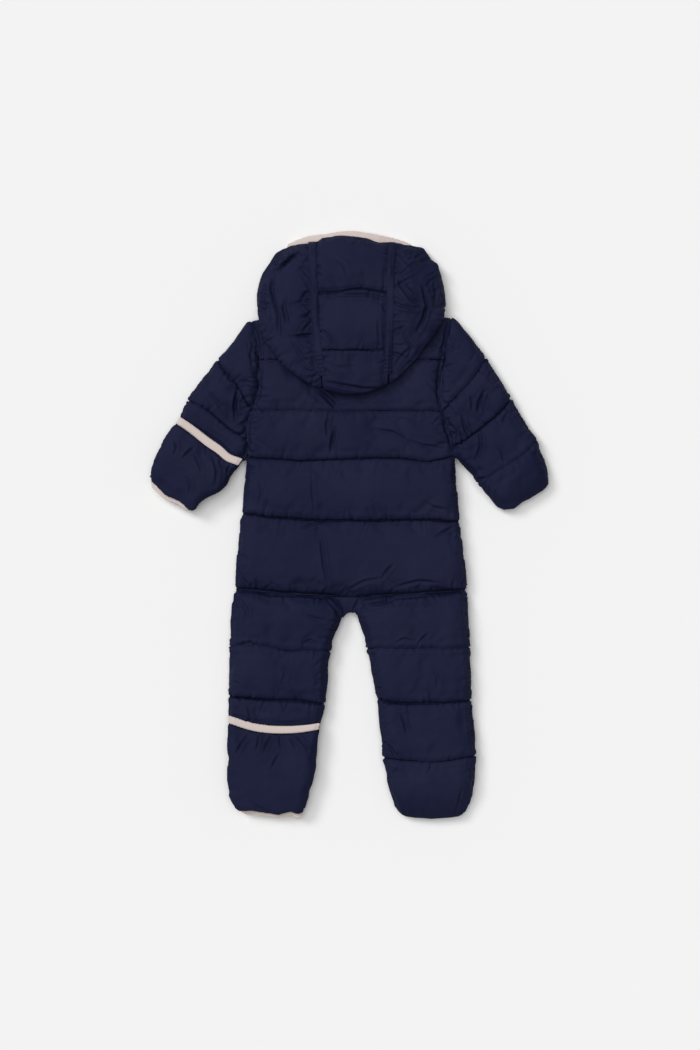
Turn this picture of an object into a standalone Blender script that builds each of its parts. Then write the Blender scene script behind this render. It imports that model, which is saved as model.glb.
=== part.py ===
"""Baby snowsuit, padded and quilted, laid face down with its back up.

Frame: metres, +Z up from the surface it lies on, +Y towards the hood.
Sizes below are in millimetres. Every cloth piece is a loft of closed loops:
quilted outer points over a plain inner face.
"""
import math
from collections import namedtuple

import bpy
import bmesh
from mathutils import Vector
from mathutils.geometry import delaunay_2d_cdt

MM = 0.001
SUIT = "baby_snowsuit"

# ---- driving sizes, millimetres
SEAM_GAP = 0.3          # between two pieces sewn together
CURVED_SEAM_GAP = 0.55  # the same along a curve, with room for its chords
SLIT = 0.6              # between the front and the back of an empty suit
FRONT_INNER = 12.8      # inner face of the front, above the surface
BACK_INNER = FRONT_INNER + SLIT
MIDDLE = FRONT_INNER + SLIT / 2
LINE_WALL = 5.0         # padded wall at a quilt line
CREST_WALL = 15.0       # padded wall between two quilt lines
EDGE_WALL = 2.2         # wall at an open side edge
SEAM_WALL = 5.5         # wall at a seam into the next piece
SIDE_ROUND = 20.0       # how far a side takes to round over
SEAM_ROUND = 12.0       # how far a seam takes to round over
SCALLOP = 2.2           # how far a puff bulges past its quilt lines at a side
INNER_BULGE = 0.7       # share of that on the inner side of a limb
OPEN_EDGE_WALL = 3.0    # wall at the sewn inner side of a limb
LIMB_COLUMNS = 9
PUFF_POWER = 2.3        # 2 is a round puff, more is a flatter one
UNDER_HOOD_GAP = 0.6    # from the back up to the hood that lies on it
PRESSED_BEYOND = 9.0    # how far past the hood the back stays pressed
CHANNEL_STEPS = (0.0, 0.08, 0.24, 0.5, 0.76, 0.92)
STRIP_COLUMNS = 12
END_SQUASH = 0.1        # heights count for little when an end is filled

NAVY = (0.014, 0.017, 0.045)
PINK = (0.64, 0.56, 0.53)
TAPE = (0.02, 0.023, 0.05)
METAL = (0.55, 0.55, 0.56)
PLASTIC = (0.03, 0.033, 0.06)

# ---- short tables, a row for each quilt line or change of outline
Row = namedtuple("Row", "name line outer_x outer_y inner_x inner_y bow")
Edge = namedtuple("Edge", "y x")
Fold = namedtuple("Fold", "x1 y1 x2 y2 depth width")
HoodRow = namedtuple("HoodRow", "y edge")
Level = namedtuple("Level", "y middle crown low wall")

ARMHOLE_LEFT = (
    Edge(274, -132.7), Edge(256, -122.0), Edge(232, -119.3), Edge(203, -119.6),
    Edge(176, -122.5), Edge(153, -130.0), Edge(134, -137.0), Edge(114, -137.0),
    Edge(92, -135.3), Edge(18, -143.0), Edge(-84, -152.7), Edge(-110, -154.0),
)
ARMHOLE_RIGHT = (
    Edge(278, 135.3), Edge(256, 132.0), Edge(235, 126.5), Edge(212, 123.0),
    Edge(189, 120.0), Edge(163, 121.0), Edge(144, 126.0), Edge(125, 133.5),
    Edge(106, 138.5), Edge(92, 139.3), Edge(18, 144.5), Edge(-85, 156.7),
    Edge(-110, 157.5),
)
UNDERARM_Y = 92.0

BACK_ROWS = (
    Row("neck", True, -132.7, 273.3, 135.3, 277.3, 8.0),
    Row("shoulder_blade", True, -119.3, 220.7, 124.7, 220.7, 0.0),
    Row("chest", True, -130.0, 153.3, 123.3, 151.5, 0.0),
    Row("underarm", True, -134.0, 90.7, 138.0, 92.0, -2.5),
    Row("waist", True, -143.3, 16.0, 144.7, 6.0, -4.0),
    Row("seat", True, -152.7, -84.0, 156.7, -85.3, -9.5),
)
FRONT_LEFT_ROWS = (
    Row("neck", True, -132.7, 273.3, -7.0, 258.0, 13.0),
    Row("shoulder", True, -119.3, 220.7, -7.0, 218.0, 0.0),
    Row("chest", True, -130.0, 153.3, -7.0, 153.3, 0.0),
    Row("underarm", True, -134.0, 90.7, -7.0, 88.5, 0.0),
    Row("waist", True, -143.3, 16.0, -7.0, 8.0, 0.0),
    Row("zip_end", True, -149.5, -56.0, -7.0, -58.0, 0.0),
    Row("seat", True, -152.7, -84.0, -0.3, -94.0, -2.0),
)
FRONT_RIGHT_ROWS = (
    Row("neck", True, 135.3, 277.3, 7.0, 258.0, 13.0),
    Row("shoulder", True, 124.7, 220.7, 7.0, 218.0, 0.0),
    Row("chest", True, 123.3, 153.3, 7.0, 153.3, 0.0),
    Row("underarm", True, 138.0, 92.0, 7.0, 88.5, 0.0),
    Row("waist", True, 144.7, 6.0, 7.0, 8.0, 0.0),
    Row("zip_end", True, 152.0, -56.0, 7.0, -58.0, 0.0),
    Row("seat", True, 156.7, -85.3, 0.3, -94.0, -2.0),
)
SLEEVE_LEFT_ROWS = (
    Row("tip", True, -133.6, 275.2, -130.4, 269.0, 0.0),
    Row("cap", False, -151.0, 251.0, -119.5, 214.0, 0.0),
    Row("line_a", True, -175.0, 221.5, -129.0, 155.5, -2.0),
    Row("upper_arm", False, -195.0, 195.5, -136.0, 136.0, 0.0),
    Row("line_b", True, -214.0, 166.0, -137.0, 113.5, 3.0),
    Row("mouth", True, -227.5, 142.0, -142.5, 84.5, 1.0),
    Row("forearm", False, -240.0, 125.0, -147.0, 74.0, 0.0),
    Row("line_c", True, -251.5, 106.5, -153.0, 64.5, 0.0),
    Row("wrist", False, -261.0, 82.0, -174.0, 43.5, 0.0),
    Row("hem", True, -265.0, 63.5, -201.5, 24.5, 0.0),
)
SLEEVE_RIGHT_ROWS = (
    Row("tip", True, 136.4, 279.0, 135.0, 272.0, 0.0),
    Row("cap", False, 158.0, 255.0, 125.0, 219.0, 0.0),
    Row("line_a", True, 180.0, 223.5, 124.0, 152.0, -3.0),
    Row("upper_arm", False, 198.0, 196.5, 132.0, 129.0, 0.0),
    Row("line_b", True, 214.5, 169.5, 138.0, 104.0, 2.0),
    Row("elbow", False, 232.0, 140.0, 148.5, 85.5, 0.0),
    Row("line_c", True, 246.5, 113.5, 173.0, 59.0, 2.0),
    Row("wrist", False, 259.5, 85.0, 184.0, 42.0, 0.0),
    Row("hem", True, 265.5, 62.0, 197.5, 31.0, 0.0),
)
LEG_LEFT_ROWS = (
    Row("seat", True, -152.7, -84.3, -19.8, -96.6, -2.0),
    Row("gusset", False, -157.0, -116.0, -8.6, -117.0, 0.0),
    Row("crotch", False, -158.0, -128.0, -12.0, -130.0, 0.0),
    Row("thigh", True, -157.5, -160.0, -20.5, -166.5, -1.0),
    Row("above_knee", False, -159.5, -192.0, -24.5, -195.0, 0.0),
    Row("knee", True, -160.0, -227.0, -34.0, -237.0, -1.0),
    Row("mouth", True, -161.0, -260.0, -38.5, -266.0, -8.0),
    Row("shin", True, -161.5, -308.0, -41.5, -309.0, -5.0),
    Row("ankle", False, -161.0, -345.0, -46.5, -347.0, 0.0),
    Row("hem", True, -148.0, -376.0, -57.0, -376.0, 0.0),
)
LEG_RIGHT_ROWS = (
    Row("seat", True, 156.7, -85.6, 14.6, -96.6, -2.0),
    Row("gusset", False, 157.0, -116.0, 7.8, -117.0, 0.0),
    Row("crotch", False, 158.0, -128.0, 15.0, -130.0, 0.0),
    Row("thigh", True, 159.0, -161.3, 25.0, -162.7, -1.0),
    Row("above_knee", False, 161.0, -196.0, 30.5, -196.0, 0.0),
    Row("knee", True, 161.5, -231.5, 37.5, -230.7, -5.0),
    Row("calf", False, 166.0, -269.0, 41.5, -269.0, 0.0),
    Row("shin", True, 167.0, -306.0, 47.0, -308.0, -5.0),
    Row("ankle", False, 165.5, -345.0, 52.0, -344.0, 0.0),
    Row("hem", True, 158.0, -371.0, 62.0, -371.0, 0.0),
)

# Largest folds: a trough from one end to the other, its depth and its width.
FOLDS = (
    Fold(-24, 130, -28, 97, 3.5, 8),
    Fold(31, 128, 77, 109, 3.0, 8),
    Fold(80, 112, 118, 104, 2.5, 8),
    Fold(-38, -9, -30, -56, 2.0, 9),
    Fold(14, -107, 104, -91, 3.5, 8),
    Fold(58, -52, 45, -68, 2.5, 8),
    Fold(-43, 182, -14, 160, 6.0, 10),
    Fold(-149, 182, -152, 141, 5.5, 8),
    Fold(180, 179, 171, 152, 3.5, 8),
    Fold(174, 125, 168, 88, 3.0, 8),
    Fold(150, 147, 158, 120, 3.0, 8),
    Fold(-100, 338, -104, 292, 4.5, 9),
    Fold(-104, 292, -92, 252, 4.5, 9),
    Fold(-95, 339, -69, 363, 5.0, 7),
    Fold(98, 319, 103, 295, 4.0, 9),
    Fold(103, 295, 90, 259, 4.5, 9),
    Fold(65, 328, 95, 291, 3.5, 8),
    Fold(-72, 251, -49, 251, 2.5, 7),
    Fold(45, -286, 63, -306, 3.0, 8),
    Fold(70, -252, 77, -276, 2.5, 8),
    Fold(-134, -246, -127, -262, 2.0, 8),
)

# ---- hood: its outline on each side, and its heights down its length
HOOD_LEFT = (
    HoodRow(386, -90.0), HoodRow(372, -101.0), HoodRow(360, -109.5), HoodRow(345, -115.0),
    HoodRow(330, -119.3), HoodRow(305, -124.0), HoodRow(291, -123.5), HoodRow(277, -122.0),
    HoodRow(262, -120.0), HoodRow(250, -115.5), HoodRow(236, -106.0), HoodRow(222, -96.0),
    HoodRow(208, -81.5), HoodRow(196, -64.0), HoodRow(184, -44.0),
)
HOOD_RIGHT = (
    HoodRow(386, 95.0), HoodRow(372, 105.0), HoodRow(360, 115.5), HoodRow(345, 120.0),
    HoodRow(330, 123.3), HoodRow(305, 128.0), HoodRow(291, 128.5), HoodRow(277, 126.5),
    HoodRow(265, 120.5), HoodRow(250, 110.5), HoodRow(236, 100.0), HoodRow(222, 90.0),
    HoodRow(208, 77.5), HoodRow(198, 67.5), HoodRow(189, 56.5),
)
HOOD_SEAM_LEFT = (Edge(386, -50.0), Edge(330, -47.5), Edge(250, -43.5), Edge(181, -35.0))
HOOD_SEAM_RIGHT = (Edge(386, 59.0), Edge(330, 55.0), Edge(250, 53.5), Edge(186, 51.0))
HOOD_LEVELS = (
    Level(386, 10.0, 19.0, 0.0, 8.0),
    Level(375, 11.5, 30.0, 0.0, 10.0),
    Level(355, 13.0, 40.0, 0.0, 11.0),
    Level(320, 13.0, 46.0, 0.0, 12.0),
    Level(291.5, 14.0, 47.5, 0.0, 13.0),
    Level(287.5, 25.0, 47.5, 19.5, 13.0),
    Level(272, 33.0, 48.0, 24.5, 14.5),
    Level(235, 35.0, 48.5, 24.5, 15.5),
    Level(205, 35.0, 47.0, 24.5, 15.0),
    Level(174, 35.0, 45.0, 24.5, 13.0),
)
HOOD_STATIONS = (386, 380, 372, 362, 350, 338, 324, 308, 296, 291.5, 287.5, 280, 272, 262,
                 250, 240, 230, 220, 210, 202, 196, 190)
HOOD_LOW_WALL = 5.4
HOOD_FLOOR_WALL = 8.0
HOOD_WRAP_X = 70.0        # the face opening's half width on the surface side
HOOD_WRAP_WIDENS = 15.0   # how much wider it is at the brim
HOOD_NECK_Y = 284.0
HOOD_BRIM_Y = 386.0
HOOD_BRIM_FALL = 14.0     # how far the brim curves back at its corners
HOOD_BRIM_HALF = 88.0
HOOD_LINES = (386.0, 308.0, 232.0, 150.0)
HOOD_GROOVE = 7.5
HOOD_FOLD_Y = 174.0       # lowest point of the drooping fold
HOOD_FOLD_CURVE = 0.0052
HOOD_TURN = 20.0          # how far the fold takes to turn over
HOOD_SEAM_DIP = 3.0
HOOD_SEAM_DIP_WIDTH = 7.0

# ---- crotch gusset
GussetRow = namedtuple("GussetRow", "y half low high")
GUSSET_X = -2.6
GUSSET_ROWS = (
    GussetRow(-95.6, 16.2, 3.5, 18.4),
    GussetRow(-102.0, 11.6, 3.5, 18.6),
    GussetRow(-108.0, 8.0, 3.5, 18.0),
    GussetRow(-113.0, 6.2, 8.0, 17.0),
    GussetRow(-115.3, 5.0, 9.5, 15.0),
)

# ---- bindings, mitts and booties
BINDING_WIDE = 9.5
BINDING_THICK = 5.0
BINDING_HALF = 4.4        # half the width of the hood's binding
BINDING_DEEP = 3.0        # half its thickness
BINDING_LOW = 3.6         # its middle's height beside the face
BINDING_RISE = 9.4        # how much higher it runs along the brim
FLAP_LOW = 20.7           # underside of an open mitt or bootie, lying on the limb
FLAP_WALL = 9.6
FLAP_EDGE = 1.6
FLAP_INSET = 1.0
FLAP_GATHER = 0.9
MITT_GATHERS = 7
BOOT_GATHERS = 9
TUCKED_TOP = 20.2         # top of the limb below an open flap
PAST_HEM = 3.0            # how far an open flap reaches beyond the hem
HEM_WALL = 5.0
CUFF_LONG = 8.0           # how much of a bound hem shows past the limb's end
ANKLE_LONG = 10.0
MITT_SOLE = 58.0          # length of a turned mitt below the sleeve
BOOT_SOLE = 66.0
SOLE_WALL = 4.8           # a turned mitt or bootie, between the limb and the surface
LIMB_OVER_SOLE = 5.3
TOE_TOP = 21.0
TOE_DEEP = 9.0
MITT_TOE_BOW = -4.0
BOOT_TOE_BOW = -11.0
OPEN_TOE_BOW = -3.0

# ---- zip on the front, on the surface side
ZIP_TOP = 246.0
ZIP_END = -56.0
ZIP_HALF = 7.0          # from the middle to the front's edges
ZIP_LIFT = 3.5          # how far those edges round up off the surface
ZIP_ROUND = 9.0
TAPE_INNER = 2.7
TAPE_OUTER = 6.6
TAPE_LOW = 6.2
TAPE_HIGH = 7.4
CHAIN_HALF = 2.3
CHAIN_LOW = 5.6
CHAIN_HIGH = 8.0
SLIDER_HALF = 4.6
SLIDER_PLATE = 1.4
SLIDER_LONG = 13.0
SLIDER_POST = 3.0
BAIL_HALF = 0.7
BAIL_BAR = 0.9
BAIL_LOW = 0.5
PULL_LOW = 1.9
PULL_THICK = 1.2
PULL_LONG = 27.0
PULL_HALF = 4.0
PULL_SLOT_HALF = 2.1
PULL_SLOT = 7.0
PULL_AXIS_Y = ZIP_TOP + 2.0
PULL_AXIS_Z = PULL_LOW + PULL_THICK / 2


def smooth(value):
    """0 to 1 with soft ends."""
    value = min(max(value, 0.0), 1.0)
    return value * value * (3 - 2 * value)


def read_table(table, key, column):
    """A value of a table between its rows, along a smooth curve."""
    keys = [row[0] for row in table]
    falls = keys[0] > keys[-1]
    rows = list(reversed(table)) if falls else list(table)
    keys = [row[0] for row in rows]
    values = [getattr(row, column) for row in rows]
    key = min(max(key, keys[0]), keys[-1])
    at = max(i for i in range(len(keys) - 1) if keys[i] <= key or i == 0)

    def slope(i):
        low = max(i - 1, 0)
        high = min(i + 1, len(keys) - 1)
        return (values[high] - values[low]) / (keys[high] - keys[low])

    span = keys[at + 1] - keys[at]
    t = (key - keys[at]) / span
    start = values[at]
    end = values[at + 1]
    return (start * (1 + 2 * t) * (1 - t) ** 2 + end * t * t * (3 - 2 * t)
            + slope(at) * span * t * (1 - t) ** 2 - slope(at + 1) * span * t * t * (1 - t))


def read_level(y, column):
    """A hood height at a place down its length, straight between rows."""
    rows = sorted(HOOD_LEVELS)
    y = min(max(y, rows[0].y), rows[-1].y)
    for low, high in zip(rows, rows[1:]):
        if y <= high.y:
            t = (y - low.y) / (high.y - low.y)
            return getattr(low, column) * (1 - t) + getattr(high, column) * t
    return getattr(rows[-1], column)


def puff(t):
    """Rise of a quilted channel across its width: 0 at its lines, 1 between."""
    return (1 - abs(2 * t - 1) ** PUFF_POWER) ** (1 / PUFF_POWER)


def round_over(distance, reach):
    """Rise of a rounded edge: 0 at the edge, 1 from reach on."""
    t = min(max(distance / reach, 0.0), 1.0)
    return math.sqrt(1 - (1 - t) ** 2)


def fold_dip(x, y):
    """How deep the large folds press the cloth in at a place."""
    dip = 0.0
    for fold in FOLDS:
        run_x = fold.x2 - fold.x1
        run_y = fold.y2 - fold.y1
        long_square = run_x * run_x + run_y * run_y
        along = ((x - fold.x1) * run_x + (y - fold.y1) * run_y) / long_square
        held = min(max(along, 0.0), 1.0)
        away = math.hypot(x - fold.x1 - held * run_x, y - fold.y1 - held * run_y)
        dip = max(dip, fold.depth * math.exp(-(away / fold.width) ** 2))
    return dip


Station = namedtuple("Station", "outer inner bow rise run left")


def walk(rows):
    """Finely spaced places along a piece, read smoothly between its rows."""
    fine = 16
    places = []
    for i in range(len(rows) - 1):
        before = rows[max(i - 1, 0)]
        start = rows[i]
        end = rows[i + 1]
        after = rows[min(i + 2, len(rows) - 1)]
        for k in range(fine):
            t = k / fine
            values = []
            for j in range(2, 7):
                tan_a = (end[j] - before[j]) / 2
                tan_b = (after[j] - start[j]) / 2
                values.append(start[j] * (1 + 2 * t) * (1 - t) ** 2
                              + end[j] * t * t * (3 - 2 * t)
                              + tan_a * t * (1 - t) ** 2 - tan_b * t * t * (1 - t))
            places.append((values, start.line and k == 0, start.name if k == 0 else ""))
    places.append((list(rows[-1][2:7]), True, rows[-1].name))
    return places


def measure(places):
    """Distance travelled down the middle of a piece to each of its places."""
    travel = [0.0]
    for a, b in zip(places, places[1:]):
        step_x = (b[0][0] + b[0][2] - a[0][0] - a[0][2]) / 2
        step_y = (b[0][1] + b[0][3] - a[0][1] - a[0][3]) / 2
        travel.append(travel[-1] + math.hypot(step_x, step_y))
    return travel


def row_run(rows, name):
    """Distance down the middle of a piece to a named row."""
    places = walk(rows)
    travel = measure(places)
    return next(run for run, place in zip(travel, places) if place[2] == name)


def stations(rows, steps=CHANNEL_STEPS, extra=()):
    """Places across which a piece is lofted, closer together at its quilt lines.
    Extra ones are set at distances from the start, or, below zero, from the end."""
    places = walk(rows)
    travel = measure(places)
    lines = [run for run, place in zip(travel, places) if place[1]]
    wanted = []
    for start, end in zip(lines, lines[1:]):
        wanted += [start + (end - start) * t for t in steps]
    wanted.append(lines[-1])
    wanted = [run for run in wanted
              if all(abs(run - (spot % travel[-1])) > 2.0 for spot in extra)]
    wanted = sorted(wanted + [spot % travel[-1] for spot in extra])
    found = []
    for distance in wanted:
        at = max(i for i in range(len(travel) - 1) if travel[i] <= distance + 1e-9)
        share = (distance - travel[at]) / (travel[at + 1] - travel[at])
        low = places[at][0]
        high = places[at + 1][0]
        value = [a + (b - a) * share for a, b in zip(low, high)]
        before = max(run for run in lines[:-1] if run <= distance + 1e-9)
        after = lines[lines.index(before) + 1]
        t = min((distance - before) / (after - before), 1.0)
        found.append(Station((value[0], value[1]), (value[2], value[3]), value[4],
                             puff(t), distance, travel[-1] - distance))
    return found


def across(station, w):
    """A place across a station: w is 0 at its outer end and 1 at its inner end."""
    run_x = station.inner[0] - station.outer[0]
    run_y = station.inner[1] - station.outer[1]
    long = math.hypot(run_x, run_y)
    side = 1 if run_x > 0 else -1
    off = station.bow * 4 * w * (1 - w)
    return (station.outer[0] + run_x * w - side * run_y / long * off,
            station.outer[1] + run_y * w + side * run_x / long * off)


def width(station):
    """Distance between a station's two ends."""
    return math.hypot(station.inner[0] - station.outer[0],
                      station.inner[1] - station.outer[1])


def spread(count, power=1.0):
    """Shares from 0 to 1, drawn closer to both ends as power rises above 1."""
    shares = []
    for i in range(count + 1):
        t = 2 * i / count - 1
        shares.append(0.5 + 0.5 * math.copysign(1 - (1 - abs(t)) ** power, t))
    return shares


def hood_outline(x, y):
    """How far inside the hood's outline a place lies, negative outside it."""
    left = x - read_table(HOOD_LEFT, y, "edge")
    right = read_table(HOOD_RIGHT, y, "edge") - x
    return min(left, right, y - hood_fold(x))


def hood_fold(x):
    """Where the hood's drooping fold ends, across the suit."""
    return HOOD_FOLD_Y + HOOD_FOLD_CURVE * x * x


def pressed(x, y, z):
    """The height of the back, held down under the hood."""
    free = max(-hood_outline(x, y) - PRESSED_BEYOND, 0.0)
    return min(z, read_level(y, "low") - UNDER_HOOD_GAP + 1.2 * free)


def material(name, colour, roughness, metallic):
    """A plain finish for one node."""
    made = bpy.data.materials.new(name)
    made.use_nodes = True
    shader = made.node_tree.nodes["Principled BSDF"]
    shader.inputs["Base Color"].default_value = (*colour, 1.0)
    shader.inputs["Roughness"].default_value = roughness
    shader.inputs["Metallic"].default_value = metallic
    return made


def add_object(name, mesh, colour, roughness=0.62, metallic=0.0):
    """Puts a mesh in the suit's collection under its node's name."""
    piece = bpy.data.objects.new(name, mesh)
    parts.objects.link(piece)
    mesh.materials.append(material(name, colour, roughness, metallic))
    return piece


def close_end(shape, ring, loop):
    """Fills an end with faces that each span as little of its width as they can."""
    flat = [Vector(point[:2]) for point in loop]
    far = max(flat, key=lambda spot: (spot - flat[0]).length)
    along = (far - flat[0]).normalized()
    drawn = [Vector(((spot - flat[0]).dot(along), point[2] * END_SQUASH))
             for spot, point in zip(flat, loop)]
    found = delaunay_2d_cdt(drawn, [], [list(range(len(loop)))], 1, 1e-7)
    for face in found[2]:
        shape.faces.new([ring[found[3][i][0]] for i in face])


def loft(name, loops, colour):
    """One closed piece of cloth from a row of closed loops."""
    shape = bmesh.new()
    rings = []
    for loop in loops:
        rings.append([shape.verts.new((x * MM, y * MM, z * MM)) for x, y, z in loop])
    for ring, following in zip(rings, rings[1:]):
        count = len(ring)
        for i in range(count):
            j = (i + 1) % count
            shape.faces.new((ring[i], ring[j], following[j], following[i]))
    close_end(shape, rings[0], loops[0])
    close_end(shape, rings[-1], loops[-1])
    bmesh.ops.recalc_face_normals(shape, faces=shape.faces)
    mesh = bpy.data.meshes.new(name)
    shape.to_mesh(mesh)
    shape.free()
    mesh.shade_smooth()
    mesh.set_sharp_from_angle(angle=math.radians(50))
    return add_object(name, mesh, colour)


# ---- body

def body_side(table, y, rise):
    """The body's edge: an armhole seam, and the side seam below it."""
    edge = read_table(table, y, "x")
    free = smooth((UNDERARM_Y - y) / 12.0)
    held = math.copysign(CURVED_SEAM_GAP * (1 - free), edge)
    return edge - held + math.copysign(SCALLOP * rise * free, edge)


def body_edge(y):
    """Wall and rounding of the body's edge: high at a seam, thin at a side."""
    free = smooth((UNDERARM_Y - y) / 25.0)
    return (SEAM_WALL + (EDGE_WALL - SEAM_WALL) * free,
            SEAM_ROUND + (SIDE_ROUND - SEAM_ROUND) * free)


def seat_y(x):
    """The seat seam's place down the suit, across it."""
    seat = BACK_ROWS[-1]
    w = (x - seat.outer_x) / (seat.inner_x - seat.outer_x)
    w = min(max(w, 0.0), 1.0)
    return seat.outer_y + (seat.inner_y - seat.outer_y) * w + seat.bow * 4 * w * (1 - w)


def on_seat(station, x, y):
    """Sets a body piece's last station along the seat seam."""
    return (x, seat_y(x)) if station.left < 1e-6 else (x, y)


def back_station(station):
    """A station of the back, with both ends on the body's own edges."""
    left = (body_side(ARMHOLE_LEFT, station.outer[1], station.rise), station.outer[1])
    right = (body_side(ARMHOLE_RIGHT, station.inner[1], station.rise), station.inner[1])
    return station._replace(outer=left, inner=right)


def back_loops():
    """Quilted top over a plain inner face, from the neck to the seat seam."""
    loops = []
    for plain in stations(BACK_ROWS):
        station = back_station(plain)
        wide = width(station)
        top = []
        for w in spread(18, 1.35):
            x, y = on_seat(station, *across(station, w))
            edge_wall, reach = body_edge(y)
            wall = LINE_WALL + (CREST_WALL - LINE_WALL) * station.rise
            wall -= fold_dip(x, y) * min(1.0, wall / CREST_WALL)
            near = min(w, 1 - w) * wide
            z = BACK_INNER + edge_wall + (wall - edge_wall) * round_over(near, reach)
            top.append((x, y, pressed(x, y, max(z, BACK_INNER + EDGE_WALL))))
        inner = [(*on_seat(station, *across(station, w)), BACK_INNER)
                 for w in (1.0, 0.75, 0.5, 0.25, 0.0)]
        loops.append(top + inner)
    return loops


def zip_edge(y, side):
    """The front's edge: clear of the zip, then meeting the other half below it."""
    shut = smooth((ZIP_END - 3.0 - y) / 14.0)
    return side * (ZIP_HALF + (SEAM_GAP / 2 - ZIP_HALF) * shut)


def front_loops(rows, side_table):
    """A plain front half: flat on the surface, rounded at its side and zip edge."""
    side = 1 if rows[0].outer_x > 0 else -1
    loops = []
    for plain in stations(rows, extra=(-4.0, -12.0, -19.0, -26.0)):
        outer_y = plain.outer[1]
        outer_x = body_side(side_table, outer_y, plain.rise)
        inner_x = zip_edge(plain.inner[1], side)
        station = plain._replace(outer=(outer_x, outer_y), inner=(inner_x, plain.inner[1]))
        wide = width(station)
        under = []
        for w in (0.0, 0.03, 0.08, 0.16, 0.4, 0.9, 0.965, 1.0):
            edge_wall, reach = body_edge(outer_y)
            wall = edge_wall + (FRONT_INNER - edge_wall) * round_over(w * wide, reach)
            zip_wall = FRONT_INNER - ZIP_LIFT * (1 - round_over((1 - w) * wide, ZIP_ROUND))
            under.append((*on_seat(station, *across(station, w)),
                          FRONT_INNER - min(wall, zip_wall)))
        inner = [(*on_seat(station, *across(station, w)), FRONT_INNER)
                 for w in (1.0, 0.5, 0.0)]
        loops.append(under + inner)
    return loops


# ---- sleeves and legs: one cloth folded at the outer side

def limb_stations(rows, seam_table=None, extra=()):
    """Stations of a sleeve or leg. A sleeve's inner ends follow the armhole seam."""
    found = []
    for station in stations(rows, extra=extra):
        outer_x, outer_y = station.outer
        inner_x, inner_y = station.inner
        run = 1 if outer_x > inner_x else -1
        bulge = SCALLOP * station.rise
        if seam_table and inner_y > UNDERARM_Y:
            inner_x = read_table(seam_table, inner_y, "x") + run * CURVED_SEAM_GAP
        else:
            inner_x -= run * bulge * INNER_BULGE
        found.append(station._replace(outer=(outer_x + run * bulge, outer_y),
                                      inner=(inner_x, inner_y)))
    return found


def limb_loop(station, top_wall, base, seam_wall, shift=None):
    """A folded loop: top layer, outer fold, bottom layer, then the slit inside."""
    wide = width(station)
    reach = min(SIDE_ROUND, wide * 0.45)
    seam_reach = min(SEAM_ROUND + 3, wide * 0.45)

    def place(w):
        x, y = across(station, w)
        return (x, y) if shift is None else shift(x, y)

    top = []
    under = []
    shares = spread(LIMB_COLUMNS, 1.3)
    for w in reversed(shares):
        x, y = place(w)
        fold = round_over(w * wide, reach)
        seam = round_over((1 - w) * wide, seam_reach)
        wall = top_wall - fold_dip(x, y) * min(1.0, top_wall / CREST_WALL)
        wall = seam_wall + (max(wall, seam_wall) - seam_wall) * seam
        top.append((x, y, MIDDLE + (BACK_INNER - MIDDLE + wall) * fold))
    for w in shares[1::2]:
        fold = round_over(w * wide, reach)
        seam = round_over((1 - w) * wide, seam_reach)
        floor = base + (MIDDLE - base) * (1 - fold)
        lift = (FRONT_INNER - seam_wall - base) * (1 - seam)
        under.append((*place(w), min(max(floor, base + max(lift, 0.0)), MIDDLE - 0.6)))
    inside = max(reach * 0.6 / wide, 0.12)
    slit = [(*place(w), FRONT_INNER) for w in (1.0, 0.55, inside)]
    slit += [(*place(w), BACK_INNER) for w in (inside, 0.55, 1.0)]
    return top + under + slit


def limb_loops(found, tucked_from=None, lifted_from=None, first_shift=None, seam_to=0.0):
    """Loops of a limb. Past tucked_from its top lies low under an open flap.
    Nearer the hem than lifted_from its underside lies on a turned flap."""
    loops = []
    for i, station in enumerate(found):
        wall = LINE_WALL + (CREST_WALL - LINE_WALL) * station.rise
        if tucked_from is not None:
            low_wall = min(wall, TUCKED_TOP - BACK_INNER)
            wall += (low_wall - wall) * smooth((station.run - tucked_from) / 3.0 + 1.0)
        base = 0.0
        if lifted_from is not None:
            base = LIMB_OVER_SOLE * smooth((lifted_from - station.left) / 8.0 + 1.0)
        seam_wall = SEAM_WALL if station.run < seam_to else OPEN_EDGE_WALL
        loops.append(limb_loop(station, wall, base, seam_wall,
                               shift=first_shift if i == 0 else None))
    return loops


def below_seat(x, y):
    """Sets the top of a leg along the seat seam."""
    return (x, seat_y(x) - CURVED_SEAM_GAP)


# ---- mitts and booties

def cut_station(found, run):
    """A station of a limb at an exact distance from its start."""
    for low, high in zip(found, found[1:]):
        if low.run <= run <= high.run:
            t = (run - low.run) / (high.run - low.run)

            def mix(a, b):
                return a + (b - a) * t

            return Station((mix(low.outer[0], high.outer[0]), mix(low.outer[1], high.outer[1])),
                           (mix(low.inner[0], high.inner[0]), mix(low.inner[1], high.inner[1])),
                           mix(low.bow, high.bow), mix(low.rise, high.rise), run,
                           mix(low.left, high.left))
    return found[-1]


def moved(station, along):
    """A station moved square to itself, towards the hem."""
    run_x = station.inner[0] - station.outer[0]
    run_y = station.inner[1] - station.outer[1]
    long = math.hypot(run_x, run_y)
    side = 1 if run_x > 0 else -1
    step_x = side * run_y / long * along
    step_y = -side * run_x / long * along
    return station._replace(outer=(station.outer[0] + step_x, station.outer[1] + step_y),
                            inner=(station.inner[0] + step_x, station.inner[1] + step_y))


def narrowed(station, trim):
    """A station with both ends drawn in."""
    long = width(station)
    unit_x = (station.inner[0] - station.outer[0]) / long
    unit_y = (station.inner[1] - station.outer[1]) / long
    return station._replace(
        outer=(station.outer[0] + unit_x * trim, station.outer[1] + unit_y * trim),
        inner=(station.inner[0] - unit_x * trim, station.inner[1] - unit_y * trim))


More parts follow.
